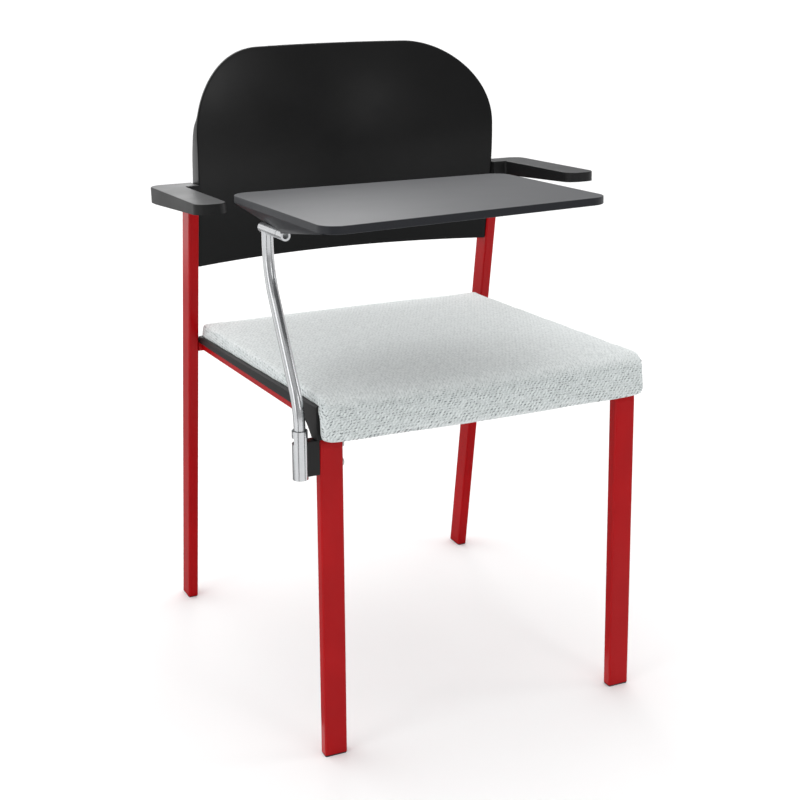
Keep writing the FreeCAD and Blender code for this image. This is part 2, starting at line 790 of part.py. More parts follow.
def make_seat_cushion():
    half = dim.seat_width.number / 2
    edge = dim.seat_edge.number
    corner = dim.seat_corner.number
    steps = [0, 0.3 * half, 0.6 * half, 0.8 * half, half - corner, half - edge, half - 0.6 * edge,
             half - 0.3 * edge, half - 0.1 * edge, half - 0.02 * edge]
    places = [-step for step in reversed(steps[1:])] + steps
    cushion = doc.addObject("Part::Feature", "seat_cushion")
    cushion.Label = "seat_cushion"
    cushion.Shape = Part.makeLoft([cushion_profile(x) for x in places], True, True)
    pieces.append(cushion)
    place_tilted(cushion, dim.seat_height)


def make_seat_screws():
    screws = []
    length = dim.tube_thin + 2 * dim.weld_gap + dim.pan_plate + dim.seat_screw_grip
    for word, side in sides.items():
        for index, along in enumerate(seat_screw_places):
            screw = new_screw(f"seat_screw_{word}_{index}", dim.seat_screw_head, dim.seat_screw_shank, length)
            depth = rail_top + dim.tube_thin + 2 * dim.weld_gap
            y = along * cosine(dim.seat_tilt) - depth * sine(dim.seat_tilt)
            z = dim.seat_height - along * sine(dim.seat_tilt) - depth * cosine(dim.seat_tilt)
            place(screw, side * rail_x, y, z, Vector(-1, 0, 0), dim.seat_tilt)
            screws.append(screw)
    group("seat_screws", screws)


# Back shell: it follows the rear legs up to the arms and then curves backwards. Its panel is hollowed to the
# front, and its side flanges lie against the legs and fade out towards the top.
def back_edge_y(rise):
    height = dim.back_bottom.number + rise
    leg_front = dim.rear_foot_y.number - height * tangent(dim.rear_lean).number
    past = max(0.0, rise - dim.back_straight.number)
    return leg_front + dim.back_setback.number + past ** 2 / (2 * dim.back_curve.number)


def back_flange_depth(rise):
    start = dim.back_fade_start.number
    end = dim.back_fade_end.number
    share = min(1.0, max(0.0, (rise - start) / (end - start)))
    fade = (1 - math.cos(math.pi * share)) / 2
    shallow = dim.back_panel.number * 1.5
    return dim.back_flange.number + (shallow - dim.back_flange.number) * fade


def back_section(rise):
    half = rear_inner_x.number - dim.back_gap.number
    spare = 1
    outer = half + spare
    inner = half - dim.back_flange_wall.number
    y = back_edge_y(rise)
    share = rise / dim.back_height.number
    sag = dim.back_sag_bottom.number + (dim.back_sag_top.number - dim.back_sag_bottom.number) * share
    deep = y + back_flange_depth(rise)
    skin = y + dim.back_panel.number
    inset = skin + sag * (1 - (inner / outer) ** 2)
    z = dim.back_bottom.number + rise

    def spot(x, depth):
        return Vector(x, depth - origin_y.number, z)

    corners = [spot(outer, y), spot(outer, deep), spot(inner, deep), spot(inner, inset)]
    mirrored = [spot(-inner, inset), spot(-inner, deep), spot(-outer, deep), spot(-outer, y)]
    edges = [Part.Arc(mirrored[3], spot(0, y + sag), corners[0]).toShape()]
    edges += [Part.LineSegment(a, b).toShape() for a, b in zip(corners, corners[1:])]
    edges.append(Part.Arc(corners[3], spot(0, skin + sag), mirrored[0]).toShape())
    edges += [Part.LineSegment(a, b).toShape() for a, b in zip(mirrored, mirrored[1:])]
    return Part.Wire(edges)


def back_outline():
    half = rear_inner_x.number - dim.back_gap.number
    low = dim.back_bottom.number
    high = low + dim.back_height.number
    big = dim.back_top_corner.number
    small = dim.back_foot_corner.number
    bend = math.sqrt(0.5)
    front = back_edge_y(dim.back_straight.number) - origin_y.number - dim.tube_wide.number

    def spot(x, z):
        return Vector(x, front, z)

    def corner(x, z, radius, way_x, way_z):
        centre_x = x - way_x * radius
        centre_z = z - way_z * radius
        start = spot(x, centre_z)
        middle = spot(centre_x + way_x * radius * bend, centre_z + way_z * radius * bend)
        end = spot(centre_x, z)
        return start, middle, end

    low_right = corner(half, low, small, 1, -1)
    high_right = corner(half, high, big, 1, 1)
    high_left = corner(-half, high, big, -1, 1)
    low_left = corner(-half, low, small, -1, -1)
    edges = [
        Part.Arc(low_right[2], low_right[1], low_right[0]).toShape(),
        Part.LineSegment(low_right[0], high_right[0]).toShape(),
        Part.Arc(*high_right).toShape(),
        Part.LineSegment(high_right[2], high_left[2]).toShape(),
        Part.Arc(high_left[2], high_left[1], high_left[0]).toShape(),
        Part.LineSegment(high_left[0], low_left[0]).toShape(),
        Part.Arc(*low_left).toShape(),
        Part.LineSegment(low_left[2], low_right[2]).toShape(),
    ]
    depth = dim.back_sag_top.number + dim.back_flange.number + 4 * dim.tube_wide.number
    return Part.Face(Part.Wire(edges)).extrude(Vector(0, depth, 0))


def back_screw_y(height):
    return rear_centre_y - height * tangent(dim.rear_lean)


def make_back():
    count = 7
    overrun = 4
    span = dim.back_height.number + 2 * overrun
    rises = [span * index / count - overrun for index in range(count + 1)]
    slab = Part.makeLoft([back_section(rise) for rise in rises], True, False)
    shape = slab.common(back_outline())
    hole = (dim.back_screw_shank.number + 2 * dim.thread_clearance.number) / 2
    for height in back_screw_heights:
        start = Vector(-dim.rear_leg_x.number, back_screw_y(height).number - origin_y.number, height.number)
        bore = Part.makeCylinder(hole, 2 * dim.rear_leg_x.number, start, Vector(1, 0, 0))
        shape = shape.cut(bore)
    shell = doc.addObject("Part::Feature", "backrest_shell")
    shell.Label = "backrest_shell"
    shell.Shape = shape
    pieces.append(shell)


def make_back_screws():
    screws = []
    head_x = rear_inner_x - dim.back_gap - dim.back_flange_wall
    length = dim.back_flange_wall + dim.back_gap + dim.tube_wall + dim.back_screw_reach
    for word, side in sides.items():
        for index, height in enumerate(back_screw_heights):
            screw = new_screw(f"back_screw_{word}_{index}", dim.back_screw_head, dim.back_screw_shank, length)
            place(screw, side * head_x, back_screw_y(height), height, Vector(0, side, 0), as_size(90))
            screws.append(screw)
    group("back_screws", screws)


# Arms: an L in plan, with a spigot that drops into the rear leg and is locked by the upper back screw
def make_arm(word, side):
    body = new_body("arm_" + word)
    inner = rear_inner_x + dim.back_gap
    corners = {
        "rear_inner": (side * inner, dim.arm_rear),
        "rear_outer": (side * dim.arm_outer, dim.arm_rear),
        "tip_outer": (side * dim.arm_outer, dim.arm_front),
        "tip_inner": (side * dim.arm_inner, dim.arm_front),
        "notch": (side * dim.arm_inner, dim.arm_notch),
        "notch_inner": (side * inner, dim.arm_notch),
    }
    plan = sketch_on(body, "XY_Plane", "plan")
    draw_polygon(plan, list(corners.values()))
    pad(body, plan, dim.arm_thick, reverse=True)
    taper = sketch_on(body, "YZ_Plane", "taper")
    ahead = dim.arm_front - dim.tube_wide
    rise = (dim.arm_thick - dim.arm_tip_thick) / (dim.arm_notch - dim.arm_front)
    tip_depth = dim.arm_tip_thick - rise * dim.tube_wide
    draw_polygon(taper, [(dim.arm_notch, -dim.arm_thick), (ahead, -tip_depth),
                         (ahead, -dim.arm_thick - dim.tube_wide),
                         (dim.arm_notch, -dim.arm_thick - dim.tube_wide)])
    pocket(body, taper)
    fillet(body, dim.arm_tip_corner, upright_at(corners["tip_outer"], corners["tip_inner"]))
    fillet(body, dim.arm_rear_corner, upright_at(corners["rear_outer"]))
    fillet(body, dim.arm_small_corner, upright_at(corners["rear_inner"], corners["notch"]))
    top_edge = dim.arm_edge.number / 10
    fillet(body, dim.arm_edge, lambda edge: edge.BoundBox.ZMin > -top_edge)
    along, down = into_frame(dim.arm_height, back_screw_y(post_top_z), post_top_z)
    relative = dim.rear_lean + dim.seat_tilt
    gap = 2 * (dim.tube_wall + dim.arm_fit)
    spigot = sketch_on(body, "XY_Plane", "spigot", -dim.arm_thick)
    width = dim.tube_thin - gap
    depth = (dim.tube_wide - gap) / cosine(relative)
    x = side * dim.rear_leg_x
    draw_polygon(spigot, [(x - width / 2, along - depth / 2), (x + width / 2, along - depth / 2),
                          (x + width / 2, along + depth / 2), (x - width / 2, along + depth / 2)])
    pad(body, spigot, dim.arm_spigot, direction=Vector(0, tangent(relative).number, -1))
    height = back_screw_heights[-1]
    hole_y, hole_z = into_frame(dim.arm_height, back_screw_y(height), height)
    drill = sketch_on(body, "YZ_Plane", "screw_hole", x)
    draw_circle(drill, hole_y, hole_z, dim.back_screw_shank + 2 * dim.thread_clearance)
    pocket(body, drill)
    place_tilted(body, dim.arm_height)


# Tablet socket
def make_socket():
    length = dim.socket_top - dim.socket_bottom
    bore = dim.socket_outer - 2 * dim.socket_wall
    body = ring("tablet_socket", dim.socket_outer, bore, length)
    slot = sketch_on(body, "XY_Plane", "slot", dim.slot_low - dim.socket_bottom)
    first = 90 - dim.slot_margin
    last = 90 + dim.swivel_travel + dim.slot_margin
    wide = 2 * dim.socket_outer
    rays = [first, (first + last) / 2, last]
    draw_polygon(slot, [(zero, zero)] + [(wide * cosine(ray), wide * sine(ray)) for ray in rays])
    pocket(body, slot, dim.slot_high - dim.slot_low, reverse=True)
    place(body, -dim.socket_x, dim.socket_y, dim.socket_bottom)
    sleeve = bore - 2 * dim.bush_fit
    hole = dim.post_outer + 2 * dim.running_fit
    upper = ring("socket_bush_upper", sleeve, hole, dim.bush_length)
    place(upper, -dim.socket_x, dim.socket_y, dim.socket_top - dim.bush_length)
    lower = ring("socket_bush_lower", sleeve, None, dim.bush_length)
    cup = sketch_on(lower, "XY_Plane", "cup", dim.bush_floor)
    draw_circle(cup, zero, zero, hole)
    pocket(lower, cup, dim.bush_length, reverse=True)
    place(lower, -dim.socket_x, dim.socket_y, dim.socket_bottom)


def leg_side_x(height):
    return dim.front_foot_x + dim.tube_wide / 2 - height * tangent(dim.front_splay)


def make_socket_block():
    body = new_body("socket_block")
    near_x = dim.socket_x - leg_side_x(dim.block_low) - dim.block_leg_gap
    half = dim.block_depth / 2
    sketch = sketch_on(body, "XY_Plane", "outline")
    draw_polygon(sketch, [(zero, -half), (near_x, -half), (near_x, half), (zero, half)])
    pad(body, sketch, dim.block_high - dim.block_low)
    saddle = sketch_on(body, "XY_Plane", "saddle")
    draw_circle(saddle, zero, zero, dim.socket_outer + 2 * dim.bush_fit)
    pocket(body, saddle)
    drill = sketch_on(body, "YZ_Plane", "bolt_holes")
    for height in bolt_heights():
        draw_circle(drill, zero, height - dim.block_low, dim.bolt_shank + 2 * dim.thread_clearance)
    pocket(body, drill)
    place(body, -dim.socket_x, dim.socket_y, dim.block_low)
    bolts = []
    for index, height in enumerate(bolt_heights()):
        head_x = leg_side_x(height) - dim.tube_wide - dim.weld_gap
        length = leg_side_x(dim.block_low) - head_x + dim.bolt_reach / 2
        bolt = new_screw(f"socket_bolt_{index}", dim.bolt_head, dim.bolt_shank, length)
        place(bolt, -head_x, dim.socket_y, height, Vector(0, -1, 0), as_size(90))
        bolts.append(bolt)
    group("socket_bolts", bolts)


# Post
def make_post():
    body = doc.addObject("PartDesign::Body", "post_tube")
    profile = sketch_on(body, "XY_Plane", "profile")
    draw_circle(profile, zero, zero, dim.post_outer)
    draw_circle(profile, zero, zero, dim.post_outer - 2 * dim.post_wall)
    foot = dim.socket_bottom + dim.bush_floor + dim.running_fit
    low = dim.post_lower_bend
    high = dim.post_upper_bend
    sin_lean = sine(dim.post_lean)
    cos_lean = cosine(dim.post_lean)
    sideways = dim.post_setback - (low + high) * (1 - cos_lean)
    a_z = dim.post_bend_start - foot
    b_y = low * (1 - cos_lean)
    b_z = a_z + low * sin_lean
    c_y = b_y + sideways
    c_z = b_z + sideways * cos_lean / sin_lean
    d_z = c_z + high * sin_lean
    end_z = barrel_z - dim.barrel_outer / 2 + dim.saddle_rise - foot
    lean = math.radians(dim.post_lean.number)
    lower_circle = Part.Circle(flat_point(low, a_z), Vector(0, 0, 1), low.number)
    upper_circle = Part.Circle(flat_point(dim.post_setback - high, d_z), Vector(0, 0, 1), high.number)
    spine = sketch_on(body, "YZ_Plane", "spine")
    spine.addGeometry(Part.LineSegment(flat_point(0, 0), flat_point(0, a_z)))
    spine.addGeometry(Part.ArcOfCircle(lower_circle, math.pi - lean, math.pi))
    spine.addGeometry(Part.LineSegment(flat_point(b_y, b_z), flat_point(c_y, c_z)))
    spine.addGeometry(Part.ArcOfCircle(upper_circle, -lean, 0))
    spine.addGeometry(Part.LineSegment(flat_point(dim.post_setback, d_z), flat_point(dim.post_setback, end_z)))
    for joint in [(0, 2, 1, 2), (1, 1, 2, 1), (2, 2, 3, 1), (3, 2, 4, 1)]:
        spine.addConstraint(Sketcher.Constraint("Coincident", *joint))
    pin_point(spine, 0, 1, zero, zero)
    pin_point(spine, 1, 2, zero, a_z)
    pin_point(spine, 1, 1, b_y, b_z)
    constrain(spine, "Radius", 1, size=low)
    pin_point(spine, 3, 1, c_y, c_z)
    pin_point(spine, 3, 2, dim.post_setback, d_z)
    constrain(spine, "Radius", 3, size=high)
    pin_point(spine, 4, 2, dim.post_setback, end_z)
    doc.recompute()
    pipe = body.newObject("PartDesign::AdditivePipe", "post_tube_pipe")
    pipe.Profile = profile
    pipe.Spine = (spine, [f"Edge{index}" for index in range(1, 6)])
    doc.recompute()
    drill = sketch_on(body, "XZ_Plane", "pin_hole")
    draw_circle(drill, zero, pin_z - foot, dim.pin_size + 2 * dim.thread_clearance)
    pocket(body, drill)
    place(body, -dim.socket_x, dim.socket_y, foot)
    # saddle at the top, where the barrel is welded on
    saddle = doc.addObject("Part::Cylinder", "post_saddle")
    bind(saddle, "Radius", dim.barrel_outer / 2 + dim.running_fit)
    bind(saddle, "Height", 4 * dim.post_outer)
    half_y = 2 * dim.post_outer * cosine(dim.seat_tilt)
    half_z = 2 * dim.post_outer * sine(dim.seat_tilt)
    place(saddle, -dim.socket_x, post_y - half_y, barrel_z + half_z, Vector(-1, 0, 0), 90 + dim.seat_tilt)
    post = doc.addObject("Part::Cut", "tablet_post")
    post.Label = "tablet_post"
    post.Base = body
    post.Tool = saddle
    pieces.append(post)
    pin = ring("stop_pin", dim.pin_size, None, dim.pin_tail + dim.pin_reach, -dim.pin_tail)
    place(pin, -dim.socket_x, dim.socket_y, pin_z, Vector(-1, 0, 0), as_size(90))


# Hinge: every piece turns about the barrel's axis, which lies in the tablet's frame
def hinge_ring(name, outer, inner, start, end):
    body = ring(name, outer, inner, end - start, -end, "XZ_Plane", -dim.socket_x, -dim.barrel_drop)
    place_tilted(body, dim.tablet_height)
    return body


def make_hinge():
    bore = dim.hinge_pin_size + 2 * dim.running_fit
    washer_end = dim.barrel_start - dim.side_play
    washer_start = washer_end - dim.washer_thick
    knuckle_end = washer_start - dim.side_play
    cap_start = dim.barrel_end + dim.side_play
    hinge_ring("hinge_barrel", dim.barrel_outer, bore, dim.barrel_start, dim.barrel_end)
    hinge_ring("hinge_knuckle", dim.barrel_outer, bore, dim.knuckle_start, knuckle_end)
    hinge_ring("hinge_washer", dim.washer_size, bore, washer_start, washer_end)
    hinge_ring("hinge_pin", dim.hinge_pin_size, None, dim.knuckle_start + dim.hinge_pin_recess,
               cap_start + dim.cap_thick / 2)
    cap = hinge_ring("hinge_cap", dim.barrel_outer, None, cap_start, cap_start + dim.cap_thick)
    seat = sketch_on(cap, "XZ_Plane", "seat", -cap_start)
    draw_circle(seat, -dim.socket_x, -dim.barrel_drop, bore)
    pocket(cap, seat, dim.cap_thick / 2 + dim.running_fit)
    # rest stop welded to the inner side of the barrel, just under the housing
    stop = new_body("hinge_stop")
    top = -(dim.tablet_thick + dim.housing_depth + dim.soft_gap)
    rise = dim.barrel_drop + top - dim.stop_thick / 2
    radius = dim.barrel_outer / 2
    flank = Size(math.sqrt(radius.number ** 2 - rise.number ** 2),
                 f"sqrt({(radius * radius - rise * rise).formula})")
    start_x = -dim.socket_x + flank + dim.soft_gap
    sketch = sketch_on(stop, "XY_Plane", "outline", top)
    draw_polygon(sketch, [(start_x, dim.stop_start), (-dim.socket_x + dim.stop_reach, dim.stop_start),
                          (-dim.socket_x + dim.stop_reach, dim.stop_start + dim.stop_length),
                          (start_x, dim.stop_start + dim.stop_length)])
    pad(stop, sketch, dim.stop_thick, reverse=True)
    place_tilted(stop, dim.tablet_height)


# Tablet
def leaf_screw_places():
    margin = 10
    xs = [-dim.socket_x + dim.leaf_width * 0.25, -dim.socket_x + dim.leaf_width - margin]
    ys = [dim.leaf_start + margin, dim.leaf_end - margin]
    return [(x, y) for x in xs for y in ys]


def make_tablet():
    body = new_body("tablet_top")
    corners = [(-dim.tablet_front_left_x, -dim.tablet_front_left_y),
               (dim.tablet_front_right_x, -dim.tablet_front_right_y),
               (dim.tablet_rear_right_x, dim.tablet_rear_right_y),
               (-dim.tablet_rear_left_x, dim.tablet_rear_left_y)]
    sketch = sketch_on(body, "XY_Plane", "outline")
    draw_polygon(sketch, corners)
    pad(body, sketch, dim.tablet_thick, reverse=True)
    fillet(body, dim.tablet_corner, upright_at(*corners))
    fillet(body, dim.tablet_edge, lambda edge: not spans(edge, "Z"))
    drill = sketch_on(body, "XY_Plane", "screw_holes", -dim.tablet_thick)
    for x, y in leaf_screw_places():
        draw_circle(drill, x, y, dim.tablet_screw_shank + 2 * dim.thread_clearance)
    pocket(body, drill, dim.tablet_screw_grip + dim.thread_clearance, reverse=True)
    place_tilted(body, dim.tablet_height)


# Wedge-shaped housing: long and wide under the board, short and narrow at the barrel
def housing_corners(inset):
    front_y = dim.housing_end_gap - dim.tablet_front_left_y + inset
    rear_y = dim.tablet_rear_left_y - dim.housing_end_gap - inset
    front_x = -dim.tablet_front_left_x + dim.housing_inset + inset
    rear_x = -dim.tablet_rear_left_x + dim.housing_inset + inset
    far_x = -dim.tablet_front_left_x + dim.housing_reach - inset
    wide = [(front_x, front_y), (far_x, front_y), (far_x, rear_y), (rear_x, rear_y)]
    # the foot covers the web of the leaf at the front and draws in at the rear, clear of the post
    foot_front = -dim.socket_x - dim.housing_foot_front + inset
    foot_rear = -dim.socket_x + dim.housing_foot_rear + inset
    foot_far = -dim.socket_x + dim.housing_foot_far - inset
    start = dim.housing_foot_start + inset
    end = dim.housing_foot_end - inset
    narrow = [(foot_front, start), (foot_far, start), (foot_far, end), (foot_rear, end)]
    return wide, narrow


def housing_loft(body, kind, name, inset, top, bottom):
    wide, narrow = housing_corners(inset)
    upper = sketch_on(body, "XY_Plane", name + "_upper", -top)
    draw_polygon(upper, wide)
    lower = sketch_on(body, "XY_Plane", name + "_lower", -bottom)
    draw_polygon(lower, narrow)
    doc.recompute()
    loft = body.newObject("PartDesign::" + kind, body.Name + "_" + name)
    loft.Profile = upper
    loft.Sections = [lower]
    loft.Ruled = True
    doc.recompute()


def make_housing():
    body = new_body("hinge_housing")
    top = dim.tablet_thick
    bottom = top + dim.housing_depth
    housing_loft(body, "AdditiveLoft", "outside", zero, top, bottom)
    housing_loft(body, "SubtractiveLoft", "inside", dim.housing_wall, top, bottom - dim.housing_wall)
    groove = sketch_on(body, "XZ_Plane", "groove")
    draw_circle(groove, -dim.socket_x, -dim.barrel_drop, dim.barrel_outer + 2 * dim.barrel_gap)
    pocket(body, groove)
    # slot for the web of the hinge leaf
    slot = sketch_on(body, "XY_Plane", "slot", -bottom)
    half = dim.leaf_thick / 2 + dim.leaf_slot_gap
    start = dim.leaf_start - dim.leaf_slot_gap
    end = dim.leaf_web_end + dim.leaf_slot_gap
    draw_polygon(slot, [(-dim.socket_x - half, start), (-dim.socket_x + half, start),
                        (-dim.socket_x + half, end), (-dim.socket_x - half, end)])
    pocket(body, slot, dim.housing_depth, reverse=True)
    place_tilted(body, dim.tablet_height)


def make_leaf():
    body = new_body("hinge_leaf")
    near_x = -dim.socket_x - dim.leaf_thick / 2
    far_x = -dim.socket_x + dim.leaf_width
    plate = sketch_on(body, "XY_Plane", "plate", -dim.tablet_thick)
    draw_polygon(plate, [(near_x, dim.leaf_start), (far_x, dim.leaf_start), (far_x, dim.leaf_end),
                         (near_x, dim.leaf_end)])
    pad(body, plate, dim.leaf_thick, reverse=True)
    web = sketch_on(body, "XY_Plane", "web", -dim.tablet_thick - dim.leaf_thick)
    draw_polygon(web, [(near_x, dim.leaf_start), (near_x + dim.leaf_thick, dim.leaf_start),
                       (near_x + dim.leaf_thick, dim.leaf_web_end), (near_x, dim.leaf_web_end)])
    foot = dim.barrel_drop - dim.barrel_outer / 2 - dim.running_fit
    pad(body, web, foot - dim.tablet_thick - dim.leaf_thick, reverse=True)
    drill = sketch_on(body, "XY_Plane", "screw_holes")
    for x, y in leaf_screw_places():
        draw_circle(drill, x, y, dim.tablet_screw_shank + 2 * dim.thread_clearance)
    pocket(body, drill)
    place_tilted(body, dim.tablet_height)
    screws = []
    depth = dim.tablet_thick + dim.leaf_thick
    for index, (x, along) in enumerate(leaf_screw_places()):
        screw = new_screw(f"tablet_screw_{index}", dim.tablet_screw_head, dim.tablet_screw_shank,
                          dim.leaf_thick + dim.tablet_screw_grip)
        y = along * cosine(dim.seat_tilt) - depth * sine(dim.seat_tilt)
        z = dim.tablet_height - along * sine(dim.seat_tilt) - depth * cosine(dim.seat_tilt)
        place(screw, x, y, z, Vector(-1, 0, 0), dim.seat_tilt)
        screws.append(screw)
    group("tablet_screws", screws)


def make_chair():
    for word, side in sides.items():
        make_front_leg(word, side)
        make_rear_leg(word, side)
        front_lean = leg_turn(side).multVec(Vector(0, 0, 1))
        make_glide("glide_front_" + word, side * dim.front_foot_x, front_centre_y, dim.tube_wide, dim.tube_thin,
                   front_lean)
        make_glide("glide_rear_" + word, side * dim.rear_leg_x, rear_centre_y, dim.tube_thin, rear_depth,
                   Vector(0, -tangent(dim.rear_lean).number, 1))
        make_arm(word, side)
    make_cross_rail("rear_cross_rail", rear_rail_along, rear_inner_x)
    make_cross_rail("front_cross_rail", dim.front_rail_y, rail_x - dim.tube_wide / 2 - dim.weld_gap)
    make_seat_pan()
    make_seat_board()
    make_seat_cushion()
    make_seat_screws()
    make_back()
    make_back_screws()
    make_socket()
    make_socket_block()
    make_post()
    make_hinge()
    make_tablet()
    make_housing()
    make_leaf()


def check_and_write():
    doc.recompute()
    for item in doc.Objects:
        if "Invalid" in item.State or "Error" in item.State:
            raise RuntimeError(f"{item.Label} failed to build")
    for piece in pieces:
        if piece.Shape.isNull() or not piece.Shape.isValid():
            raise RuntimeError(f"{piece.Label} has no valid shape")
    os.makedirs("parts", exist_ok=True)
    for piece in pieces:
        piece.Shape.exportStep(f"parts/{piece.Label}.step")
        print(piece.Label, len(piece.Shape.Solids), round(piece.Shape.Volume))


make_chair()
check_and_write()
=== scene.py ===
import json
import math

import bmesh
import bpy
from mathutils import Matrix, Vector


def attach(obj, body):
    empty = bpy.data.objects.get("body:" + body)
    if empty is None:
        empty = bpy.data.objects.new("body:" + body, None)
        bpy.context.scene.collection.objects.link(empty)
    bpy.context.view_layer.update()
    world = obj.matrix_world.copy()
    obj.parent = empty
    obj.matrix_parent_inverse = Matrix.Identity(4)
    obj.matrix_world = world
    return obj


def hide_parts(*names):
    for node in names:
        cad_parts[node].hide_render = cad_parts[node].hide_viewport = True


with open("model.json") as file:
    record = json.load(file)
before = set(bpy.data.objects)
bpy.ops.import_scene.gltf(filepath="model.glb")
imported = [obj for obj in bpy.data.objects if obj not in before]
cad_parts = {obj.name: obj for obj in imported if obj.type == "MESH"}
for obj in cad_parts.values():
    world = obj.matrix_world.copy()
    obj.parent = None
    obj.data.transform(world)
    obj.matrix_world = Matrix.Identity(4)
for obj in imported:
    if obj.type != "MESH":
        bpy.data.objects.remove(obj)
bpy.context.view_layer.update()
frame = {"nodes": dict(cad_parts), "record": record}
nodes = frame["nodes"]
scene = bpy.context.scene
print("frame loaded with", len(nodes), "nodes")

# The seat leans back. Seat measures are x, the depth behind its front edge and the height over its top plane.
# All lengths are in metres.
lean = {"tilt": math.radians(3.08), "originY": 0.2220, "seatHeight": 0.4746, "rearLean": math.radians(8.19)}


def seatPoint(x, along, up):
    c, s = math.cos(lean["tilt"]), math.sin(lean["tilt"])
    return Vector((x, along * c + up * s - lean["originY"], lean["seatHeight"] - along * s + up * c))


def seatMeasures(point):
    c, s = math.cos(lean["tilt"]), math.sin(lean["tilt"])
    y = point.y + lean["originY"]
    z = point.z - lean["seatHeight"]
    return y * c - z * s, y * s + z * c


def clamp(value):
    return min(1.0, max(0.0, value))


# Shader sums: a socket that can be added, multiplied and so on
class Link:
    def __init__(self, finish, socket):
        self.finish = finish
        self.socket = socket

    def maths(self, operation, *values):
        return self.finish.node("ShaderNodeMath", {"operation": operation}, dict(enumerate(values)))

    def out(self, name):
        return Link(self.finish, self.socket.node.outputs[name])

    def floor(self):
        return self.maths("FLOOR", self)

    def wave(self):
        return self.maths("SINE", self) * 0.5 + 0.5

    def __add__(self, other):
        return self.maths("ADD", self, other)

    def __sub__(self, other):
        return self.maths("SUBTRACT", self, other)

    def __rsub__(self, other):
        return self.maths("SUBTRACT", other, self)

    def __mul__(self, other):
        return self.maths("MULTIPLY", self, other)

    def __truediv__(self, other):
        return self.maths("DIVIDE", self, other)

    def __pow__(self, other):
        return self.maths("POWER", self, other)

    __radd__ = __add__
    __rmul__ = __mul__


class Finish:
    def __init__(self, name):
        self.material = bpy.data.materials.new(name)
        self.material.use_nodes = True
        self.tree = self.material.node_tree
        self.tree.nodes.clear()

    def node(self, kind, settings=None, inputs=None, output=0):
        made = self.tree.nodes.new(kind)
        for key, value in (settings or {}).items():
            setattr(made, key, value)
        for key, value in (inputs or {}).items():
            if isinstance(value, Link):
                self.tree.links.new(value.socket, made.inputs[key])
            else:
                made.inputs[key].default_value = value
        return Link(self, made.outputs[output])

    def place(self):
        return self.node("ShaderNodeTexCoord", output="Object")

    def noise(self, size, detail=2.0, roughness=0.5, stretch=(1, 1, 1)):
        spot = self.node("ShaderNodeMapping", None, {"Vector": self.place(), "Scale": stretch})
        inputs = {"Vector": spot, "Scale": 1 / size, "Detail": detail, "Roughness": roughness}
        return self.node("ShaderNodeTexNoise", None, inputs)

    def mix(self, factor, first, second):
        return self.node("ShaderNodeMix", {"data_type": "RGBA"}, {0: factor, 6: first, 7: second}, 2)

    def ramp(self, value, low, high, start=0.0, end=1.0):
        inputs = {"Value": value, "From Min": low, "From Max": high, "To Min": start, "To Max": end}
        return self.node("ShaderNodeMapRange", {"interpolation_type": "SMOOTHSTEP"}, inputs)

    def facing(self, axis):
        normal = self.node("ShaderNodeNewGeometry", output="Normal")
        return self.node("ShaderNodeSeparateXYZ", None, {0: normal}, axis)

    def upward(self, low, high):
        return self.ramp(self.facing("Z"), low, high)

    def isSide(self, limit):
        turn = self.facing("X")
        return turn.maths("GREATER_THAN", turn.maths("ABSOLUTE", turn), limit)

    def bump(self, height, distance, strength):
        return self.node("ShaderNodeBump", None, {"Height": height, "Distance": distance, "Strength": strength})

    def done(self, **inputs):
        named = {key.replace("_", " "): value for key, value in inputs.items()}
        body = self.node("ShaderNodeBsdfPrincipled", None, named)
        end = self.tree.nodes.new("ShaderNodeOutputMaterial")
        self.tree.links.new(body.socket, end.inputs["Surface"])
        return self.material


def color(red, green, blue):
    return (red, green, blue, 1.0)


def grey(tone):
    return color(tone, tone, tone)


# Powder-coated tube: fine orange peel, slightly deeper red in places. A span is the part of a noise that is used.
redPaint = {
    "deep": color(0.36, 0.0016, 0.0036), "bright": color(0.41, 0.0024, 0.0048),
    "cloud": 0.09, "cloudSpan": (0.3, 0.7), "smudge": 0.05, "smudgeSpan": (0.2, 0.8), "detail": 3.0,
    "gloss": (0.22, 0.27), "sheen": 0.15, "peel": 0.0016, "peelDetail": 1.0, "relief": 0.00002, "bump": 0.2,
}


def makeRedPaint():
    coat = Finish("redPowderCoat")
    cloud = coat.noise(redPaint["cloud"], redPaint["detail"])
    shade = coat.mix(coat.ramp(cloud, *redPaint["cloudSpan"]), redPaint["deep"], redPaint["bright"])
    smudge = coat.noise(redPaint["smudge"], redPaint["detail"])
    rough = coat.ramp(smudge, *redPaint["smudgeSpan"], *redPaint["gloss"])
    peel = coat.noise(redPaint["peel"], redPaint["peelDetail"])
    relief = coat.bump(peel, redPaint["relief"], redPaint["bump"])
    return coat.done(Base_Color=shade, Roughness=rough, Normal=relief, Specular_IOR_Level=redPaint["sheen"])


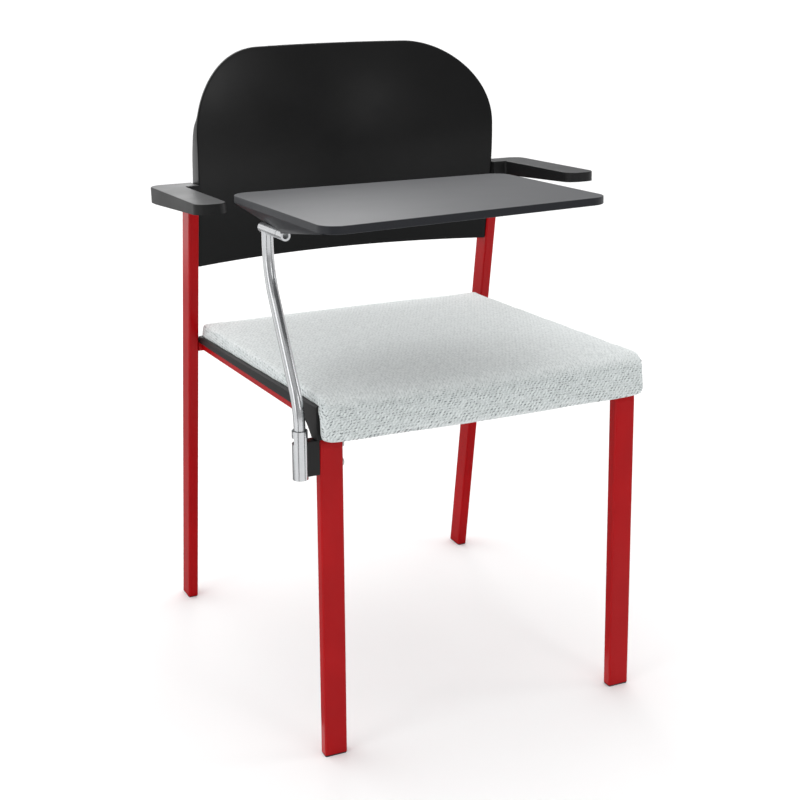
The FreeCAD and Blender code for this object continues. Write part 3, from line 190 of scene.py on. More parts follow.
# Moulded black plastic: spark-eroded grain, faint handling marks in the gloss
moulding = {
    "cloud": 0.06, "cloudDetail": 3.0, "cloudSpan": (0.25, 0.75), "paler": 1.2, "smoother": 0.03, "rougher": 0.05,
    "grainDetail": 2.0, "grainRoughness": 0.6, "bump": 0.4,
}
plastics = {
    "shell": {"tint": (0.0034, 0.0034, 0.0036), "grain": 0.0009, "relief": 0.00002, "gloss": 0.32, "sheen": 0.2},
    "arm": {
        "tint": (0.0085, 0.0086, 0.009), "grain": 0.0011, "relief": 0.00003, "gloss": 0.42, "sheen": 0.2,
        # painted highlight: upward faces turn lighter grey, standing in for light on the tops
        "paintedTopLight": color(0.1, 0.101, 0.103), "paintedTopLightSpan": (0.8, 0.99),
    },
    "pan": {"tint": (0.0036, 0.0036, 0.0038), "grain": 0.0012, "relief": 0.00004, "gloss": 0.46, "sheen": 0.3},
    "housing": {
        "tint": (0.0075, 0.0085, 0.0115), "grain": 0.0009, "relief": 0.00002, "gloss": 0.34, "sheen": 0.16,
    },
    "glide": {"tint": (0.01, 0.01, 0.01), "grain": 0.0015, "relief": 0.00005, "gloss": 0.55, "sheen": 0.4},
    "bush": {"tint": (0.02, 0.02, 0.02), "grain": 0.001, "relief": 0.00002, "gloss": 0.4, "sheen": 0.4},
}


def makePlastic(name):
    values = plastics[name]
    skin = Finish(name + "Plastic")
    cloud = skin.noise(moulding["cloud"], moulding["cloudDetail"])
    paler = color(*[channel * moulding["paler"] for channel in values["tint"]])
    shade = skin.mix(cloud, color(*values["tint"]), paler)
    if "paintedTopLight" in values:  # painted highlight: the tops are made lighter grey, standing in for the light falling on them
        shade = skin.mix(skin.upward(*values["paintedTopLightSpan"]), shade, values["paintedTopLight"])
    gloss = values["gloss"]
    rough = skin.ramp(cloud, *moulding["cloudSpan"], gloss - moulding["smoother"], gloss + moulding["rougher"])
    grain = skin.noise(values["grain"], moulding["grainDetail"], moulding["grainRoughness"])
    relief = skin.bump(grain, values["relief"], moulding["bump"])
    return skin.done(Base_Color=shade, Roughness=rough, Normal=relief, Specular_IOR_Level=values["sheen"])


# Tablet board: satin laminate face, darker blue-grey moulded edge
boardLook = {
    "face": color(0.108, 0.110, 0.116), "edge": color(0.0085, 0.0098, 0.0135), "faceSpan": (0.6, 0.95),
    "smudge": 0.09, "smudgeSpan": (0.2, 0.8), "gloss": (0.44, 0.47), "sheen": 0.3,
    "grain": 0.0008, "grainDetail": 2.0, "grainRoughness": 0.6, "relief": 0.00002, "bump": 0.3,
}


def makeBoardLook():
    skin = Finish("tabletLaminate")
    shade = skin.mix(skin.upward(*boardLook["faceSpan"]), boardLook["edge"], boardLook["face"])
    rough = skin.ramp(skin.noise(boardLook["smudge"]), *boardLook["smudgeSpan"], *boardLook["gloss"])
    grain = skin.noise(boardLook["grain"], boardLook["grainDetail"], boardLook["grainRoughness"])
    relief = skin.bump(grain, boardLook["relief"], boardLook["bump"])
    return skin.done(Base_Color=shade, Roughness=rough, Normal=relief, Specular_IOR_Level=boardLook["sheen"])


# Plated steel: the chrome is a little short of a full mirror, the zinc is dull and uneven
plating = {"detail": 4.0, "span": (0.3, 0.8), "bump": 0.4}
plates = {
    "chrome": {
        "title": "polishedChrome", "dull": color(0.50, 0.51, 0.525), "bright": color(0.58, 0.59, 0.60),
        "haze": 0.012, "gloss": (0.16, 0.2), "metal": 0.86,
    },
    "steel": {
        "title": "zincPlate", "dull": color(0.42, 0.43, 0.44), "bright": color(0.6, 0.61, 0.6),
        "haze": 0.004, "gloss": (0.28, 0.42), "metal": 1.0, "relief": 0.00005,
    },
}


def makePlate(values):
    plate = Finish(values["title"])
    haze = plate.noise(values["haze"], plating["detail"])
    shade = plate.mix(haze, values["dull"], values["bright"])
    rough = plate.ramp(haze, *plating["span"], *values["gloss"])
    relief = {}
    if "relief" in values:
        relief["Normal"] = plate.bump(haze, values["relief"], plating["bump"])
    return plate.done(Base_Color=shade, Roughness=rough, Metallic=values["metal"], **relief)


# Plywood under the pad, grain across the seat
plywood = {
    "dark": color(0.36, 0.23, 0.12), "light": color(0.6, 0.44, 0.27), "gloss": 0.7, "grain": 0.02, "detail": 5.0,
    "roughness": 0.6, "stretch": (1, 14, 14), "span": (0.3, 0.7), "relief": 0.0003, "bump": 0.5,
}


def makePly():
    wood = Finish("plySheet")
    grain = wood.noise(plywood["grain"], plywood["detail"], plywood["roughness"], plywood["stretch"])
    shade = wood.mix(wood.ramp(grain, *plywood["span"]), plywood["dark"], plywood["light"])
    relief = wood.bump(grain, plywood["relief"], plywood["bump"])
    return wood.done(Base_Color=shade, Roughness=plywood["gloss"], Normal=relief)


# Seat fabric: a pale ribbed weave with short slanting dark flecks. The top is painted lighter for the light that
# falls on it: a brighter ground, less darkening, and flecks and hatch fainter than on the steep faces
weave = {
    "pale": color(0.82, 0.865, 0.86), "mid": color(0.47, 0.51, 0.51), "fleck": color(0.09, 0.11, 0.115),
    "bright": color(0.88, 0.915, 0.91), "sideLimit": 0.7, "paintedLightTopSpan": (0.35, 0.97), "paintedLightTopFleckShare": 0.3, "start": 2.0,
    "cellWidth": 0.0052, "cellHeight": 0.0034, "step": 0.37, "slantCosine": 0.72, "slantSine": 0.69,
    "fleckLength": 0.5, "fleckWidth": 0.21, "fleckFade": (0.3, 1.15), "chanceSpan": (0.05, 0.95),
    "fleckDepth": (0.2, 0.95), "ribPitch": 0.0034, "threadPitch": 0.0017, "hatchPitch": 0.0058,
    "wobble": 0.006, "wobbleDetail": 3.0, "rowWobble": 0.9, "columnWobble": 1.2, "ribWobble": 9.0,
    "threadWobble": 6.0, "hatchWobble": 8.0, "mottle": 0.0028, "mottleDetail": 3.0, "mottleRoughness": 0.6,
    "mottleStretch": (1, 0.55, 0.55), "mottleSpan": (0.3, 0.7),
    "darken": {"rib": 0.2, "mottle": 0.42, "thread": 0.12, "hatch": 0.34, "all": 0.04, "top": 0.2},
    "raise": {"rib": 0.3, "thread": 0.25, "mottle": 0.3}, "relief": 0.00035, "bump": 0.6,
    "roughness": 0.92, "sheen": 0.25, "sheenRoughness": 0.5,
}


def makeWeave():
    cloth = Finish("fleckWeave")
    spot = cloth.node("ShaderNodeSeparateXYZ", None, {0: cloth.place()}, "X")
    side = cloth.isSide(weave["sideLimit"])
    front = 1.0 - side
    across = spot * front + spot.out("Y") * side
    along = (spot.out("Y") * front + spot.out("Z")) * -1.0 + weave["start"]
    wobble = cloth.noise(weave["wobble"], weave["wobbleDetail"])
    # painted light: this upward mask makes the top lighter, standing in for the light falling on it
    top = cloth.upward(*weave["paintedLightTopSpan"])

    # one fleck in each cell of a stepped grid, some darker than others
    row = along / weave["cellHeight"] + wobble * weave["rowWobble"]
    rowIndex = row.floor()
    column = across / weave["cellWidth"] + rowIndex * weave["step"] + wobble * weave["columnWobble"]
    columnIndex = column.floor()
    cell = cloth.node("ShaderNodeCombineXYZ", None, {0: columnIndex, 1: rowIndex})
    chance = cloth.node("ShaderNodeTexWhiteNoise", {"noise_dimensions": "2D"}, {"Vector": cell})
    sideways = column - columnIndex - 0.5
    downward = row - rowIndex - 0.5
    turned = sideways * weave["slantCosine"] - downward * weave["slantSine"]
    crossed = downward * weave["slantCosine"] + sideways * weave["slantSine"]
    reach = ((turned / weave["fleckLength"]) ** 2.0 + (crossed / weave["fleckWidth"]) ** 2.0) ** 0.5
    dash = cloth.ramp(reach, *weave["fleckFade"], 1.0, 0.0)
    # painted light: flecks are kept faint on the top, where it is lit
    steep = 1.0 - top * (1 - weave["paintedLightTopFleckShare"])
    fleck = dash * steep * cloth.ramp(chance, *weave["chanceSpan"], *weave["fleckDepth"])

    # ribs, threads and a slanting hatch in the ground
    rib = (across * (2 * math.pi / weave["ribPitch"]) + wobble * weave["ribWobble"]).wave()
    thread = (along * (2 * math.pi / weave["threadPitch"]) + wobble * weave["threadWobble"]).wave()
    slant = (across + along) * (2 * math.pi / weave["hatchPitch"]) + wobble * weave["hatchWobble"]
    hatch = slant.wave() * (1.0 - top)
    tufts = cloth.noise(weave["mottle"], weave["mottleDetail"], weave["mottleRoughness"], weave["mottleStretch"])
    mottle = cloth.ramp(tufts, *weave["mottleSpan"])
    darken = weave["darken"]
    dark = rib * darken["rib"] + mottle * darken["mottle"] + thread * darken["thread"]
    # painted light: the top is darkened less and its ground mixed towards the brighter colour
    dark = dark + hatch * darken["hatch"] + darken["all"] - top * darken["top"]
    ground = cloth.mix(dark, cloth.mix(top, weave["pale"], weave["bright"]), weave["mid"])
    shade = cloth.mix(fleck, ground, weave["fleck"])

    lift = weave["raise"]
    height = rib * lift["rib"] + thread * lift["thread"] + mottle * lift["mottle"] - fleck
    relief = cloth.bump(height, weave["relief"], weave["bump"])
    return cloth.done(Base_Color=shade, Roughness=weave["roughness"], Normal=relief,
                      Sheen_Weight=weave["sheen"], Sheen_Roughness=weave["sheenRoughness"])


finishes = {name: makePlastic(name) for name in plastics}
finishes.update({name: makePlate(values) for name, values in plates.items()})
finishes.update(frame=makeRedPaint(), tablet=makeBoardLook(), ply=makePly(), pad=makeWeave())
print("finishes made:", len(finishes))

slotOf = {part["node"]: part["material_slot"] for part in frame["record"]["subparts"]}
for name, thing in nodes.items():
    thing.data.materials.clear()
    thing.data.materials.append(finishes[slotOf[name]])
print("frame finished")


def newPiece(name, mesh, slot, body, replaced):
    piece = bpy.data.objects.new(name, mesh)
    scene.collection.objects.link(piece)
    if not mesh.materials:
        mesh.materials.append(finishes[slot])
    settle(piece, body, replaced)


def settle(piece, body, replaced):
    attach(piece, body)
    for node in replaced:
        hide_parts(node)


def smoothMesh(name, points, faces, merge=0.0):
    mesh = bpy.data.meshes.new(name)
    mesh.from_pydata(points, [], faces)
    mesh.validate()
    mesh.shade_smooth()
    form = bmesh.new()
    form.from_mesh(mesh)
    if merge:
        bmesh.ops.remove_doubles(form, verts=form.verts, dist=merge)
    bmesh.ops.recalc_face_normals(form, faces=form.faces)
    form.to_mesh(mesh)
    form.free()
    return mesh


def evaluatedMesh(piece):
    graph = bpy.context.evaluated_depsgraph_get()
    return bpy.data.meshes.new_from_object(piece.evaluated_get(graph))


# Faces between closed loops of points that follow one another
def bandFaces(loops, size, first=0):
    faces = []
    for loop in range(loops - 1):
        low = first + loop * size
        high = low + size
        for spot in range(size):
            after = (spot + 1) % size
            faces.append((low + spot, low + after, high + after, high + spot))
    return faces


def linePoints(start, end, count):
    shares = [step / count for step in range(count)]
    return [tuple(a + (b - a) * share for a, b in zip(start, end)) for share in shares]


def arcPoints(centre, start, end, radius, count):
    angles = [math.radians(start + (end - start) * index / count) for index in range(count + 1)]
    return [(centre[0] + radius * math.cos(a), centre[1] + radius * math.sin(a)) for a in angles]


# Seat pad: a crowned form with a rounded front and an apron, blown up a little as cloth over foam
pad = {
    "halfWidth": 0.2196, "rear": 0.4576, "front": 0.0168, "bow": 0.009, "crown": 0.003, "edge": 0.0045,
    "corner": 0.010, "waterfall": 0.026, "apron": 0.0535, "under": 0.0215, "back": 0.0088, "rise": 0.0022,
    "lip": 0.005, "hemShare": 0.42, "hemTurn": 0.8, "fallTurn": 1.15, "rim": 0.0096, "rimRear": 0.0164,
    "overhang": 0.0036, "frontOverhang": 0.0052, "overhangFrom": 0.17, "overhangRise": 0.003, "overhangLead": 1.2,
    "frontBlend": 0.012, "voxel": 0.0046, "smoothing": 0.5, "flatHalf": 0.2,
    "edgeRows": (1.8, 1.4, 1.0, 0.75, 0.5, 0.3, 0.15, 0.03),
    "steps": {"lip": 4, "top": 24, "waterfall": 8, "hem": 5, "flat": 8},
    "cloth": {"quality": 5, "mass": 0.3, "stiffness": 18, "pressure": 4.0, "frames": 20, "swell": 0.0022},
    "heldSide": 0.003, "heldUnder": 0.002,
}


def roundIn(distance, radius):
    past = max(0.0, distance)
    return radius - math.sqrt(max(0.0, radius * radius - past * past))


def padSection(x):
    half, rear, lip, steps = pad["halfWidth"], pad["rear"], pad["lip"], pad["steps"]
    share = abs(x) / half
    setback = roundIn(abs(x) - half + pad["corner"], pad["corner"])
    front = -pad["front"] + pad["bow"] * share ** 2 + setback
    top = pad["rise"] - roundIn(abs(x) - half + pad["edge"], pad["edge"])
    low = -pad["apron"] + pad["hemTurn"] * setback
    hem = pad["hemShare"] * (pad["back"] - front)
    fall = pad["waterfall"] - pad["fallTurn"] * setback
    bulge = pad["crown"] * (1 - share ** 2)
    count = steps["top"]
    crowned = []
    for step in range(1, count):
        along = rear - lip + (front + fall - rear + lip) * step / count
        crowned.append((along, top + bulge * math.sin(math.pi * step / count)))
    rim = arcPoints((rear - lip, top - lip), 0, 90, lip, steps["lip"])
    nose = arcPoints((front + fall, top - fall), 90, 180, fall, steps["waterfall"])
    hemArc = arcPoints((front + hem, low + hem), 180, 270, hem, steps["hem"])
    inside = [(pad["back"], low), (pad["back"], -pad["under"])]
    return [(rear, -pad["under"])] + rim + crowned + nose + hemArc + inside


def padMesh():
    count = pad["steps"]["flat"]
    right = [pad["flatHalf"] * step / count for step in range(count + 1)]
    right += [pad["halfWidth"] - pad["edge"] * part for part in pad["edgeRows"]]
    rows = [-x for x in reversed(right[1:])] + right
    loops = [[seatPoint(x, along, up) for along, up in padSection(x)] for x in rows]
    size = len(loops[0])
    points = [point for loop in loops for point in loop]
    faces = bandFaces(len(loops), size)
    faces.append(tuple(range(size)))
    faces.append(tuple(reversed(range(len(points) - size, len(points)))))
    return smoothMesh("padForm", points, faces)


def rimDepth(along):
    return pad["rim"] + (pad["rimRear"] - pad["rim"]) * clamp(along / pad["rear"])


# The pan holds the fabric below its rim, and the apron is held along its rear edge
def isHeld(point):
    along, up = seatMeasures(point)
    margin, slack = pad["heldSide"], pad["heldUnder"]
    inTray = abs(point.x) > pad["halfWidth"] - margin or along > pad["rear"] - margin
    behindApron = along > pad["back"] - slack and up < -pad["under"] + slack
    return behindApron or (inTray and along > pad["back"] and up < -rimDepth(along))


# Above the pan's rim, and ahead of the pan, the fabric stands out to the sides
def overhang(point):
    along, up = seatMeasures(point)
    inner = pad["overhangFrom"]
    reach = clamp((abs(point.x) - inner) / (pad["halfWidth"] - inner)) ** 2
    rest = pad["overhang"] * clamp((up + rimDepth(along)) / pad["overhangRise"] + pad["overhangLead"])
    ahead = clamp((pad["back"] + pad["frontBlend"] - along) / pad["frontBlend"])
    return Vector((math.copysign((rest + (pad["frontOverhang"] - rest) * ahead) * reach, point.x), 0, 0))


def blowUp(piece):
    values = pad["cloth"]
    rest = [vertex.co.copy() for vertex in piece.data.vertices]
    held = piece.vertex_groups.new(name="held")
    held.add([index for index, point in enumerate(rest) if isHeld(point)], 1.0, "REPLACE")
    cloth = piece.modifiers.new("cloth", "CLOTH")
    cloth.settings.vertex_group_mass = held.name
    cloth.settings.quality = values["quality"]
    cloth.settings.mass = values["mass"]
    cloth.settings.tension_stiffness = values["stiffness"]
    cloth.settings.compression_stiffness = values["stiffness"]
    cloth.settings.use_pressure = True
    cloth.settings.uniform_pressure_force = values["pressure"]
    cloth.settings.effector_weights.gravity = 0
    cloth.point_cache.frame_start = 1
    cloth.point_cache.frame_end = values["frames"]
    for step in range(1, values["frames"] + 1):
        scene.frame_set(step)
    blown = evaluatedMesh(piece)
    shifts = [vertex.co - start for start, vertex in zip(rest, blown.vertices)]
    bpy.data.meshes.remove(blown)
    piece.modifiers.remove(cloth)
    scene.frame_set(1)
    for vertex, start, shift in zip(piece.data.vertices, rest, shifts):
        if shift.length > values["swell"]:
            shift *= values["swell"] / shift.length
        vertex.co = start + shift
    piece.vertex_groups.clear()


def makePad():
    rough = bpy.data.objects.new("padForm", padMesh())
    scene.collection.objects.link(rough)
    remesh = rough.modifiers.new("remesh", "REMESH")
    remesh.mode = "VOXEL"
    remesh.voxel_size = pad["voxel"]
    mesh = evaluatedMesh(rough)
    bpy.data.objects.remove(rough)
    mesh.name = "seatPad"
    mesh.materials.clear()
    mesh.materials.append(finishes["pad"])
    piece = bpy.data.objects.new("seatPad", mesh)
    scene.collection.objects.link(piece)
    blowUp(piece)
    for vertex in mesh.vertices:
        vertex.co += overhang(vertex.co)
    form = bmesh.new()
    form.from_mesh(mesh)
    bmesh.ops.smooth_vert(form, verts=form.verts, factor=pad["smoothing"],
                          use_axis_x=True, use_axis_y=True, use_axis_z=True)
    form.to_mesh(mesh)
    form.free()
    mesh.shade_smooth()
    finer = piece.modifiers.new("finer", "SUBSURF")
    finer.levels = 1
    finer.render_levels = 1
    settle(piece, "chair", ["seat_cushion"])
    print("seat pad made:", len(mesh.vertices), "points")


makePad()

# Back shell: hollowed panel with a rounded rim, and side flanges that fade out above the arms
shell = {
    "half": 0.2262, "bottom": 0.538, "height": 0.292, "topCorner": 0.114, "footCorner": 0.0022,
    "footLeast": 0.0008, "panel": 0.006, "rim": 0.0018, "rimStep": 15, "border": 0.004, "bevel": 0.0004,
    "flange": 0.028, "flangeTop": 0.0085, "flangeWall": 0.004, "flangeFrom": 0.2215, "flangeBlend": 0.004,
    "fadeStart": 0.140, "fadeEnd": 0.235, "straight": 0.100, "curve": 0.385, "sagBottom": 0.036, "sagTop": 0.060,
    "sagMargin": 0.001, "setback": 0.0025, "rearFoot": 0.512, "merge": 0.00001,
    "shares": (0.04, 0.14, 0.26, 0.38, 0.5, 0.6, 0.7, 0.78, 0.85, 0.91, 0.96, 1.0),
    "steps": {"foot": 60, "footCorner": 10, "side": 40, "topCorner": 40, "top": 40},
}


def shellFront(x, rise):
    legFront = shell["rearFoot"] - (shell["bottom"] + rise) * math.tan(lean["rearLean"])
    past = max(0.0, rise - shell["straight"])
    sag = shell["sagBottom"] + (shell["sagTop"] - shell["sagBottom"]) * rise / shell["height"]
    edge = legFront + shell["setback"] + past ** 2 / (2 * shell["curve"])
    return edge + sag * (1 - (x / (shell["half"] + shell["sagMargin"])) ** 2) - lean["originY"]


def shellDepth(x, rise):
    share = clamp((rise - shell["fadeStart"]) / (shell["fadeEnd"] - shell["fadeStart"]))
    flange = shell["flange"] + (shell["flangeTop"] - shell["flange"]) * (1 - math.cos(math.pi * share)) / 2
    thin = shell["panel"] + shell["bevel"]
    side = clamp((abs(x) - shell["flangeFrom"]) / shell["flangeBlend"])
    return thin + max(0.0, flange - thin) * side * side * (3 - 2 * side)


def shellOutline(inset):
    half = shell["half"] - inset
    low, high = inset, shell["height"] - inset
    big, small = shell["topCorner"] - inset, max(shell["footLeast"], shell["footCorner"] - inset)
    steps = shell["steps"]
    points = linePoints((-half + small, low), (half - small, low), steps["foot"])
    points += arcPoints((half - small, low + small), -90, 0, small, steps["footCorner"])[:-1]
    points += linePoints((half, low + small), (half, high - big), steps["side"])
    points += arcPoints((half - big, high - big), 0, 90, big, steps["topCorner"])[:-1]
    points += linePoints((half - big, high), (-half + big, high), steps["top"])
    points += arcPoints((-half + big, high - big), 90, 180, big, steps["topCorner"])[:-1]
    points += linePoints((-half, high - big), (-half, low + small), steps["side"])
    points += arcPoints((-half + small, low + small), 180, 270, small, steps["footCorner"])[:-1]
    return points


def shellPoint(x, rise, depth):
    return Vector((x, shellFront(x, rise) + depth, shell["bottom"] + rise))


# A loop near the edge takes its depth from the edge point beside it
def edgeLoop(inset, depthAt):
    pairs = zip(shellOutline(inset), shellOutline(0))
    return [shellPoint(x, rise, depthAt(*edge)) for (x, rise), edge in pairs]


def panelLoop(share, depth):
    middle = shell["height"] / 2
    outline = shellOutline(shell["rim"] + shell["border"])
    return [shellPoint(x * share, middle + (rise - middle) * share, depth) for x, rise in outline]


def makeShell():
    rim, wall, panel, bevel = shell["rim"], shell["flangeWall"], shell["panel"], shell["bevel"]
    turns = [math.radians(angle) for angle in range(0, 91, shell["rimStep"])]
    loops = [panelLoop(share, 0.0) for share in shell["shares"]]
    for turn in turns:
        deep = rim * (1 - math.cos(turn))
        loops.append(edgeLoop(rim * (1 - math.sin(turn)), lambda x, rise: deep))
    for turn in turns:
        short = rim * (1 - math.sin(turn))
        loops.append(edgeLoop(rim * (1 - math.cos(turn)), lambda x, rise: shellDepth(x, rise) - short))
    loops.append(edgeLoop(wall - bevel, shellDepth))
    loops.append(edgeLoop(wall, lambda x, rise: shellDepth(x, rise) - bevel))
    loops.append(edgeLoop(wall, lambda x, rise: panel))
    loops += [panelLoop(share, panel) for share in reversed(shell["shares"])]
    size = len(loops[0])
    points = [point for loop in loops for point in loop]
    faces = bandFaces(len(loops), size)
    for first, depth in ((0, 0.0), (len(points) - size, panel)):
        pole = len(points)
        points.append(shellPoint(0, shell["height"] / 2, depth))
        faces += [(first + spot, first + (spot + 1) % size, pole) for spot in range(size)]
    mesh = smoothMesh("backShell", points, faces, shell["merge"])
    newPiece("backShell", mesh, "shell", "chair", ["backrest_shell"])
    print("back shell made")


makeShell()


# Geometry Nodes: trees are built here, run once and left as plain meshes
class NodeTree:
    def __init__(self, name, inputs):
        self.tree = bpy.data.node_groups.new(name, "GeometryNodeTree")
        face = self.tree.interface
        face.new_socket(name="Geometry", in_out="INPUT", socket_type="NodeSocketGeometry")
        self.sockets = {}
        for label, kind in inputs.items():
            self.sockets[label] = face.new_socket(name=label, in_out="INPUT", socket_type="NodeSocket" + kind)
        face.new_socket(name="Geometry", in_out="OUTPUT", socket_type="NodeSocketGeometry")
        self.start = self.tree.nodes.new("NodeGroupInput")
        self.end = self.tree.nodes.new("NodeGroupOutput")

    def input(self, label):
        return self.start.outputs[label]

    def node(self, kind, settings=None, inputs=None, output=0):
        made = self.tree.nodes.new(kind)
        for key, value in (settings or {}).items():
            setattr(made, key, value)
        for key, value in (inputs or {}).items():
            if isinstance(value, bpy.types.NodeSocket):
                self.tree.links.new(value, made.inputs[key])
            else:
                made.inputs[key].default_value = value
        return made.outputs[output]

    def close(self, geometry):
        real = self.node("GeometryNodeRealizeInstances", None, {"Geometry": geometry})
        inputs = {"Geometry": real, "Material": self.input("Material")}
        painted = self.node("GeometryNodeSetMaterial", None, inputs)
        self.tree.links.new(painted, self.end.inputs["Geometry"])

    def run(self, name, mesh, values):
        holder = bpy.data.objects.new(name, mesh)
        scene.collection.objects.link(holder)
        step = holder.modifiers.new("nodes", "NODES")
        step.node_group = self.tree
        for label, value in values.items():
            step[self.sockets[label].identifier] = value
        made = evaluatedMesh(holder)
        bpy.data.objects.remove(holder)
        made.name = name
        return made


def screwTree():
    tree = NodeTree("socketScrews", {"Screw": "Object", "Head Radius": "Float", "Material": "Material"})
    model = tree.node("GeometryNodeObjectInfo", None, {"Object": tree.input("Screw")}, "Geometry")
    axis = tree.node("GeometryNodeInputNamedAttribute", {"data_type": "FLOAT_VECTOR"}, {"Name": "axis"})
    turn = tree.node("FunctionNodeAlignRotationToVector", {"axis": "Z"}, {"Vector": axis})
    inputs = {"Points": tree.input("Geometry"), "Instance": model, "Rotation": turn,
              "Scale": tree.input("Head Radius")}
    tree.close(tree.node("GeometryNodeInstanceOnPoints", None, inputs))
    return tree


# Domed screw head of radius 1 with a six-sided socket, its seat at zero and its top towards +Z.
# The profile gives radius and height from the seat to the rim of the dome.
screwHead = {
    "profile": ((0.92, 0.0), (1.0, 0.06), (1.0, 0.186), (0.93, 0.4092), (0.8, 0.5456), (0.62, 0.62)),
    "socket": 0.46, "depth": 0.34, "tip": 0.08, "sides": 30,
}


def hexRadius(angle):
    sector = math.pi / 3
    return screwHead["socket"] * math.cos(sector / 2) / math.cos((angle % sector) - sector / 2)


def screwModel():
    sides = screwHead["sides"]
    high = screwHead["profile"][-1][1]
    deep = high - screwHead["depth"]
    angles = [2 * math.pi * index / sides for index in range(sides)]
    loops = []
    for radius, z in screwHead["profile"]:
        loops.append([(radius * math.cos(a), radius * math.sin(a), z) for a in angles])
    for z in (high, deep):
        loops.append([(hexRadius(a) * math.cos(a), hexRadius(a) * math.sin(a), z) for a in angles])
    points = [(0.0, 0.0, 0.0)] + [point for loop in loops for point in loop]
    points.append((0.0, 0.0, deep - screwHead["tip"]))
    faces = bandFaces(len(loops), sides, first=1)
    last = 1 + (len(loops) - 1) * sides
    for index in range(sides):
        after = (index + 1) % sides
        faces.append((0, 1 + after, 1 + index))
        faces.append((last + index, last + after, len(points) - 1))
    mesh = bpy.data.meshes.new("screwModel")
    mesh.from_pydata(points, [], faces)
    model = bpy.data.objects.new("screwModel", mesh)
    scene.collection.objects.link(model)
    return model


# Each group's heads: piece name, radius of a head and the way that it faces
seatDown = Vector((0, -math.sin(lean["tilt"]), -math.cos(lean["tilt"])))
screwGroups = {
    "seat_screws": ("seatScrews", 0.0055, lambda middle: seatDown),
    "back_screws": ("backScrews", 0.0044, lambda middle: Vector((-1 if middle.x > 0 else 1, 0, 0))),
    "socket_bolts": ("socketBolts", 0.0048, lambda middle: Vector((1, 0, 0))),
}
screwFit = {"headHeight": 0.003, "rimBand": 0.0002, "merge": 0.00001}


def looseParts(mesh):
    form = bmesh.new()
    form.from_mesh(mesh)
    bmesh.ops.remove_doubles(form, verts=form.verts, dist=screwFit["merge"])
    seen = set()
    parts = []
    for first in form.verts:
        if first in seen:
            continue
        seen.add(first)
        island = [first]
        for vertex in island:  # grows while it is walked
            for edge in vertex.link_edges:
                other = edge.other_vert(vertex)
                if other not in seen:
                    seen.add(other)
                    island.append(other)
        parts.append([vertex.co.copy() for vertex in island])
    form.free()
    return parts


# One point for each screw, read from the separate solids of the CAD group
def screwSpots(node, axisOf):
    spots = []
    for points in looseParts(nodes[node].data):
        axis = axisOf(sum(points, Vector()) / len(points))
        reach = max(point.dot(axis) for point in points)
        rim = [point for point in points if point.dot(axis) > reach - screwFit["rimBand"]]
        spots.append((sum(rim, Vector()) / len(rim) - axis * screwFit["headHeight"], axis))
    mesh = bpy.data.meshes.new(node)
    mesh.from_pydata([spot for spot, axis in spots], [], [])
    axes = mesh.attributes.new("axis", "FLOAT_VECTOR", "POINT")
    for index, (spot, axis) in enumerate(spots):
        axes.data[index].vector = axis
    return mesh


def makeScrews():
    tree = screwTree()
    model = screwModel()
    for node, (name, radius, axisOf) in screwGroups.items():
        values = {"Screw": model, "Head Radius": radius, "Material": finishes["steel"]}
        mesh = tree.run(name, screwSpots(node, axisOf), values)
        newPiece(name, mesh, "steel", "chair", [node])
    bpy.data.objects.remove(model)
    print("screws made:", len(screwGroups), "groups")


makeScrews()


# Floor: near white, with a barely darker cloud in it
floorLook = {"tone": 0.97, "darker": 0.99, "cloud": 1.5, "half": 40, "sheen": 0.1}
sheetRoughness = 0.9


def makeSheet(name, title, corners, tones, cloud, sheen):
    finish = Finish(title)
    shade = finish.mix(finish.noise(cloud), grey(tones[0]), grey(tones[1]))
    mesh = bpy.data.meshes.new(name)
    mesh.from_pydata(corners, [], [(0, 1, 2, 3)])
    mesh.materials.append(finish.done(Base_Color=shade, Roughness=sheetRoughness, Specular_IOR_Level=sheen))
    sheet = bpy.data.objects.new(name, mesh)
    scene.collection.objects.link(sheet)
    return sheet


def makeFloor():
    half, tone = floorLook["half"], floorLook["tone"]
    corners = [(-half, -half, 0), (half, -half, 0), (half, half, 0), (-half, half, 0)]
    tones = (tone, tone * floorLook["darker"])
    floor = makeSheet("floor", "studioFloor", corners, tones, floorLook["cloud"], floorLook["sheen"])


# Cards that only reflections see. The upright ones draw streaks in the chrome and darken the right-hand glare,
# and the lying one keeps the white floor's glare low on the faces towards it.
flags = {
    "leftFlag": {"at": (-0.86, -0.85), "size": (0.24, 1.3), "tone": 0.16},
    "rightFlag": {"at": (0.44, -0.79), "size": (0.24, 1.3), "tone": 0.16},
    "sideFlag": {"at": (2.4, 2.6), "size": (2.3, 2.4), "tone": 0.012},
    "floorFlag": {"at": (-0.32, -0.15), "size": (1.6, 2.7), "tone": 0.24, "lying": True},
}
flagLook = {"faceX": -0.24, "faceY": -0.15, "foot": 0.002, "paler": 1.2, "cloud": 0.2, "sheen": 0.0}


def makeFlags():
    for name, card in flags.items():
        x, y = card["at"]
        wide, high = card["size"]
        if card.get("lying"):
            aside, rise = Vector((1, 0, 0)), Vector((0, high, 0))
        else:  # an upright card faces the chrome post
            aside = Vector((y - flagLook["faceY"], flagLook["faceX"] - x, 0)).normalized()
            rise = Vector((0, 0, high))
        base = Vector((x, y, flagLook["foot"]))
        aside *= wide / 2
        corners = [base - aside, base + aside, base + rise + aside, base + rise - aside]
        tones = (card["tone"], card["tone"] * flagLook["paler"])
        flag = makeSheet(name, name + "Card", corners, tones, flagLook["cloud"], flagLook["sheen"])
        flag.visible_camera = False
        flag.visible_diffuse = False
        flag.visible_shadow = False


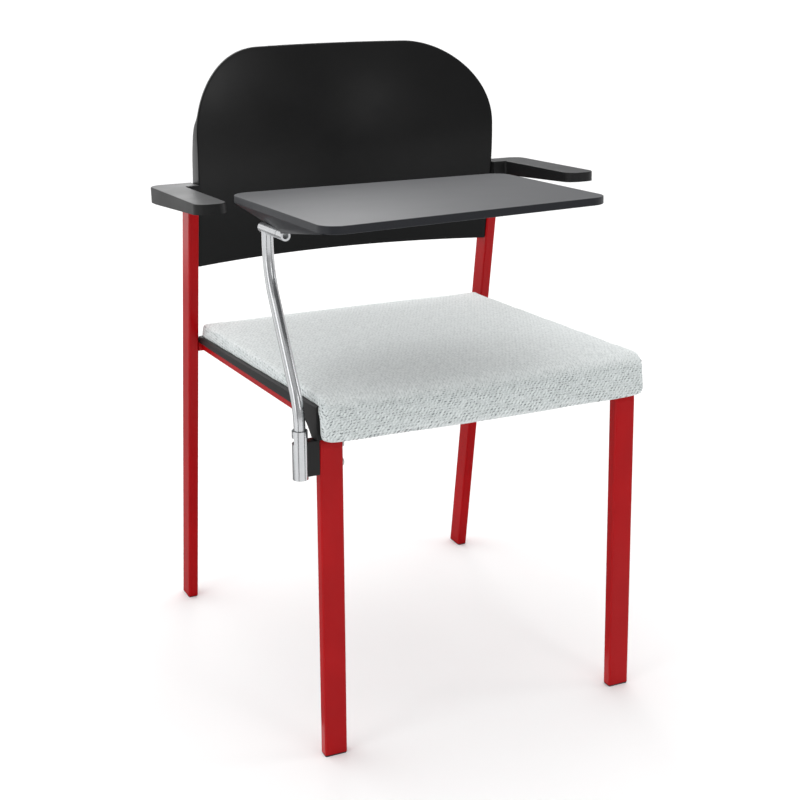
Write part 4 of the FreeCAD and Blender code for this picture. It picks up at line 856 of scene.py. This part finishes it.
# Soft light: a sky that is brighter behind the chair, a very wide sun and four weak boxes
sky = {"back": 1.1, "front": 0.5, "fade": (-0.5, 0.6), "sun": 1.15, "sunAngle": 110, "sunTurn": (-12, -8, 0)}
softBoxes = {
    "leftBox": {"at": (-2.6, -0.9, 1.5), "size": (0.9, 2.2), "power": 10},
    "frontBox": {"at": (0.7, -2.6, 1.6), "size": (0.5, 1.2), "power": 5},
    "rightBox": {"at": (2.3, -0.9, 1.6), "size": (0.5, 1.2), "power": 5},
    "rearBox": {"at": (0.95, 3.0, 1.7), "size": (0.8, 0.8), "power": 9},
}
boxAim = (0, 0, 0.5)


def makeSky():
    world = bpy.data.worlds.new("studio")
    scene.world = world
    world.use_nodes = True
    tree = world.node_tree
    place = tree.nodes.new("ShaderNodeTexCoord")
    split = tree.nodes.new("ShaderNodeSeparateXYZ")
    fade = tree.nodes.new("ShaderNodeMapRange")
    fade.interpolation_type = "SMOOTHSTEP"
    low, high = sky["fade"]
    for key, value in {"From Min": low, "From Max": high, "To Min": sky["front"], "To Max": sky["back"]}.items():
        fade.inputs[key].default_value = value
    tree.links.new(place.outputs["Generated"], split.inputs[0])
    tree.links.new(split.outputs["Y"], fade.inputs["Value"])
    # seen directly, the studio is evenly pale
    seen = tree.nodes.new("ShaderNodeLightPath")
    even = tree.nodes.new("ShaderNodeMix")
    even.inputs["B"].default_value = sky["back"]
    tree.links.new(seen.outputs["Is Camera Ray"], even.inputs["Factor"])
    tree.links.new(fade.outputs[0], even.inputs["A"])
    tree.links.new(even.outputs["Result"], tree.nodes["Background"].inputs["Strength"])
    tree.nodes["Background"].inputs["Color"].default_value = grey(1)


def makeLamps():
    for name, box in softBoxes.items():
        lamp = bpy.data.lights.new(name, "AREA")
        lamp.shape = "RECTANGLE"
        lamp.size, lamp.size_y = box["size"]
        lamp.energy = box["power"]
        light = bpy.data.objects.new(name, lamp)
        light.location = box["at"]
        aim = Vector(boxAim) - Vector(box["at"])
        light.rotation_euler = aim.to_track_quat("-Z", "Y").to_euler()
        scene.collection.objects.link(light)
    sun = bpy.data.lights.new("sky", "SUN")
    sun.energy = sky["sun"]
    sun.angle = math.radians(sky["sunAngle"])
    light = bpy.data.objects.new("sky", sun)
    light.rotation_euler = [math.radians(angle) for angle in sky["sunTurn"]]
    scene.collection.objects.link(light)


# Camera as fitted to the photo's straight edges
view = {"at": (-0.8426, -1.7547, 1.0254), "heading": 25.19, "pitch": 18.46, "lens": 67.57, "sensor": 36}


def makeCamera():
    lens = bpy.data.cameras.new("camera")
    lens.lens = view["lens"]
    lens.sensor_width = view["sensor"]
    camera = bpy.data.objects.new("camera", lens)
    camera.location = view["at"]
    camera.rotation_euler = (math.radians(90 - view["pitch"]), 0, math.radians(-view["heading"]))
    scene.collection.objects.link(camera)
    scene.camera = camera
    scene.view_settings.view_transform = "Standard"


makeFloor()
makeFlags()
makeSky()
makeLamps()
makeCamera()
print("studio ready")
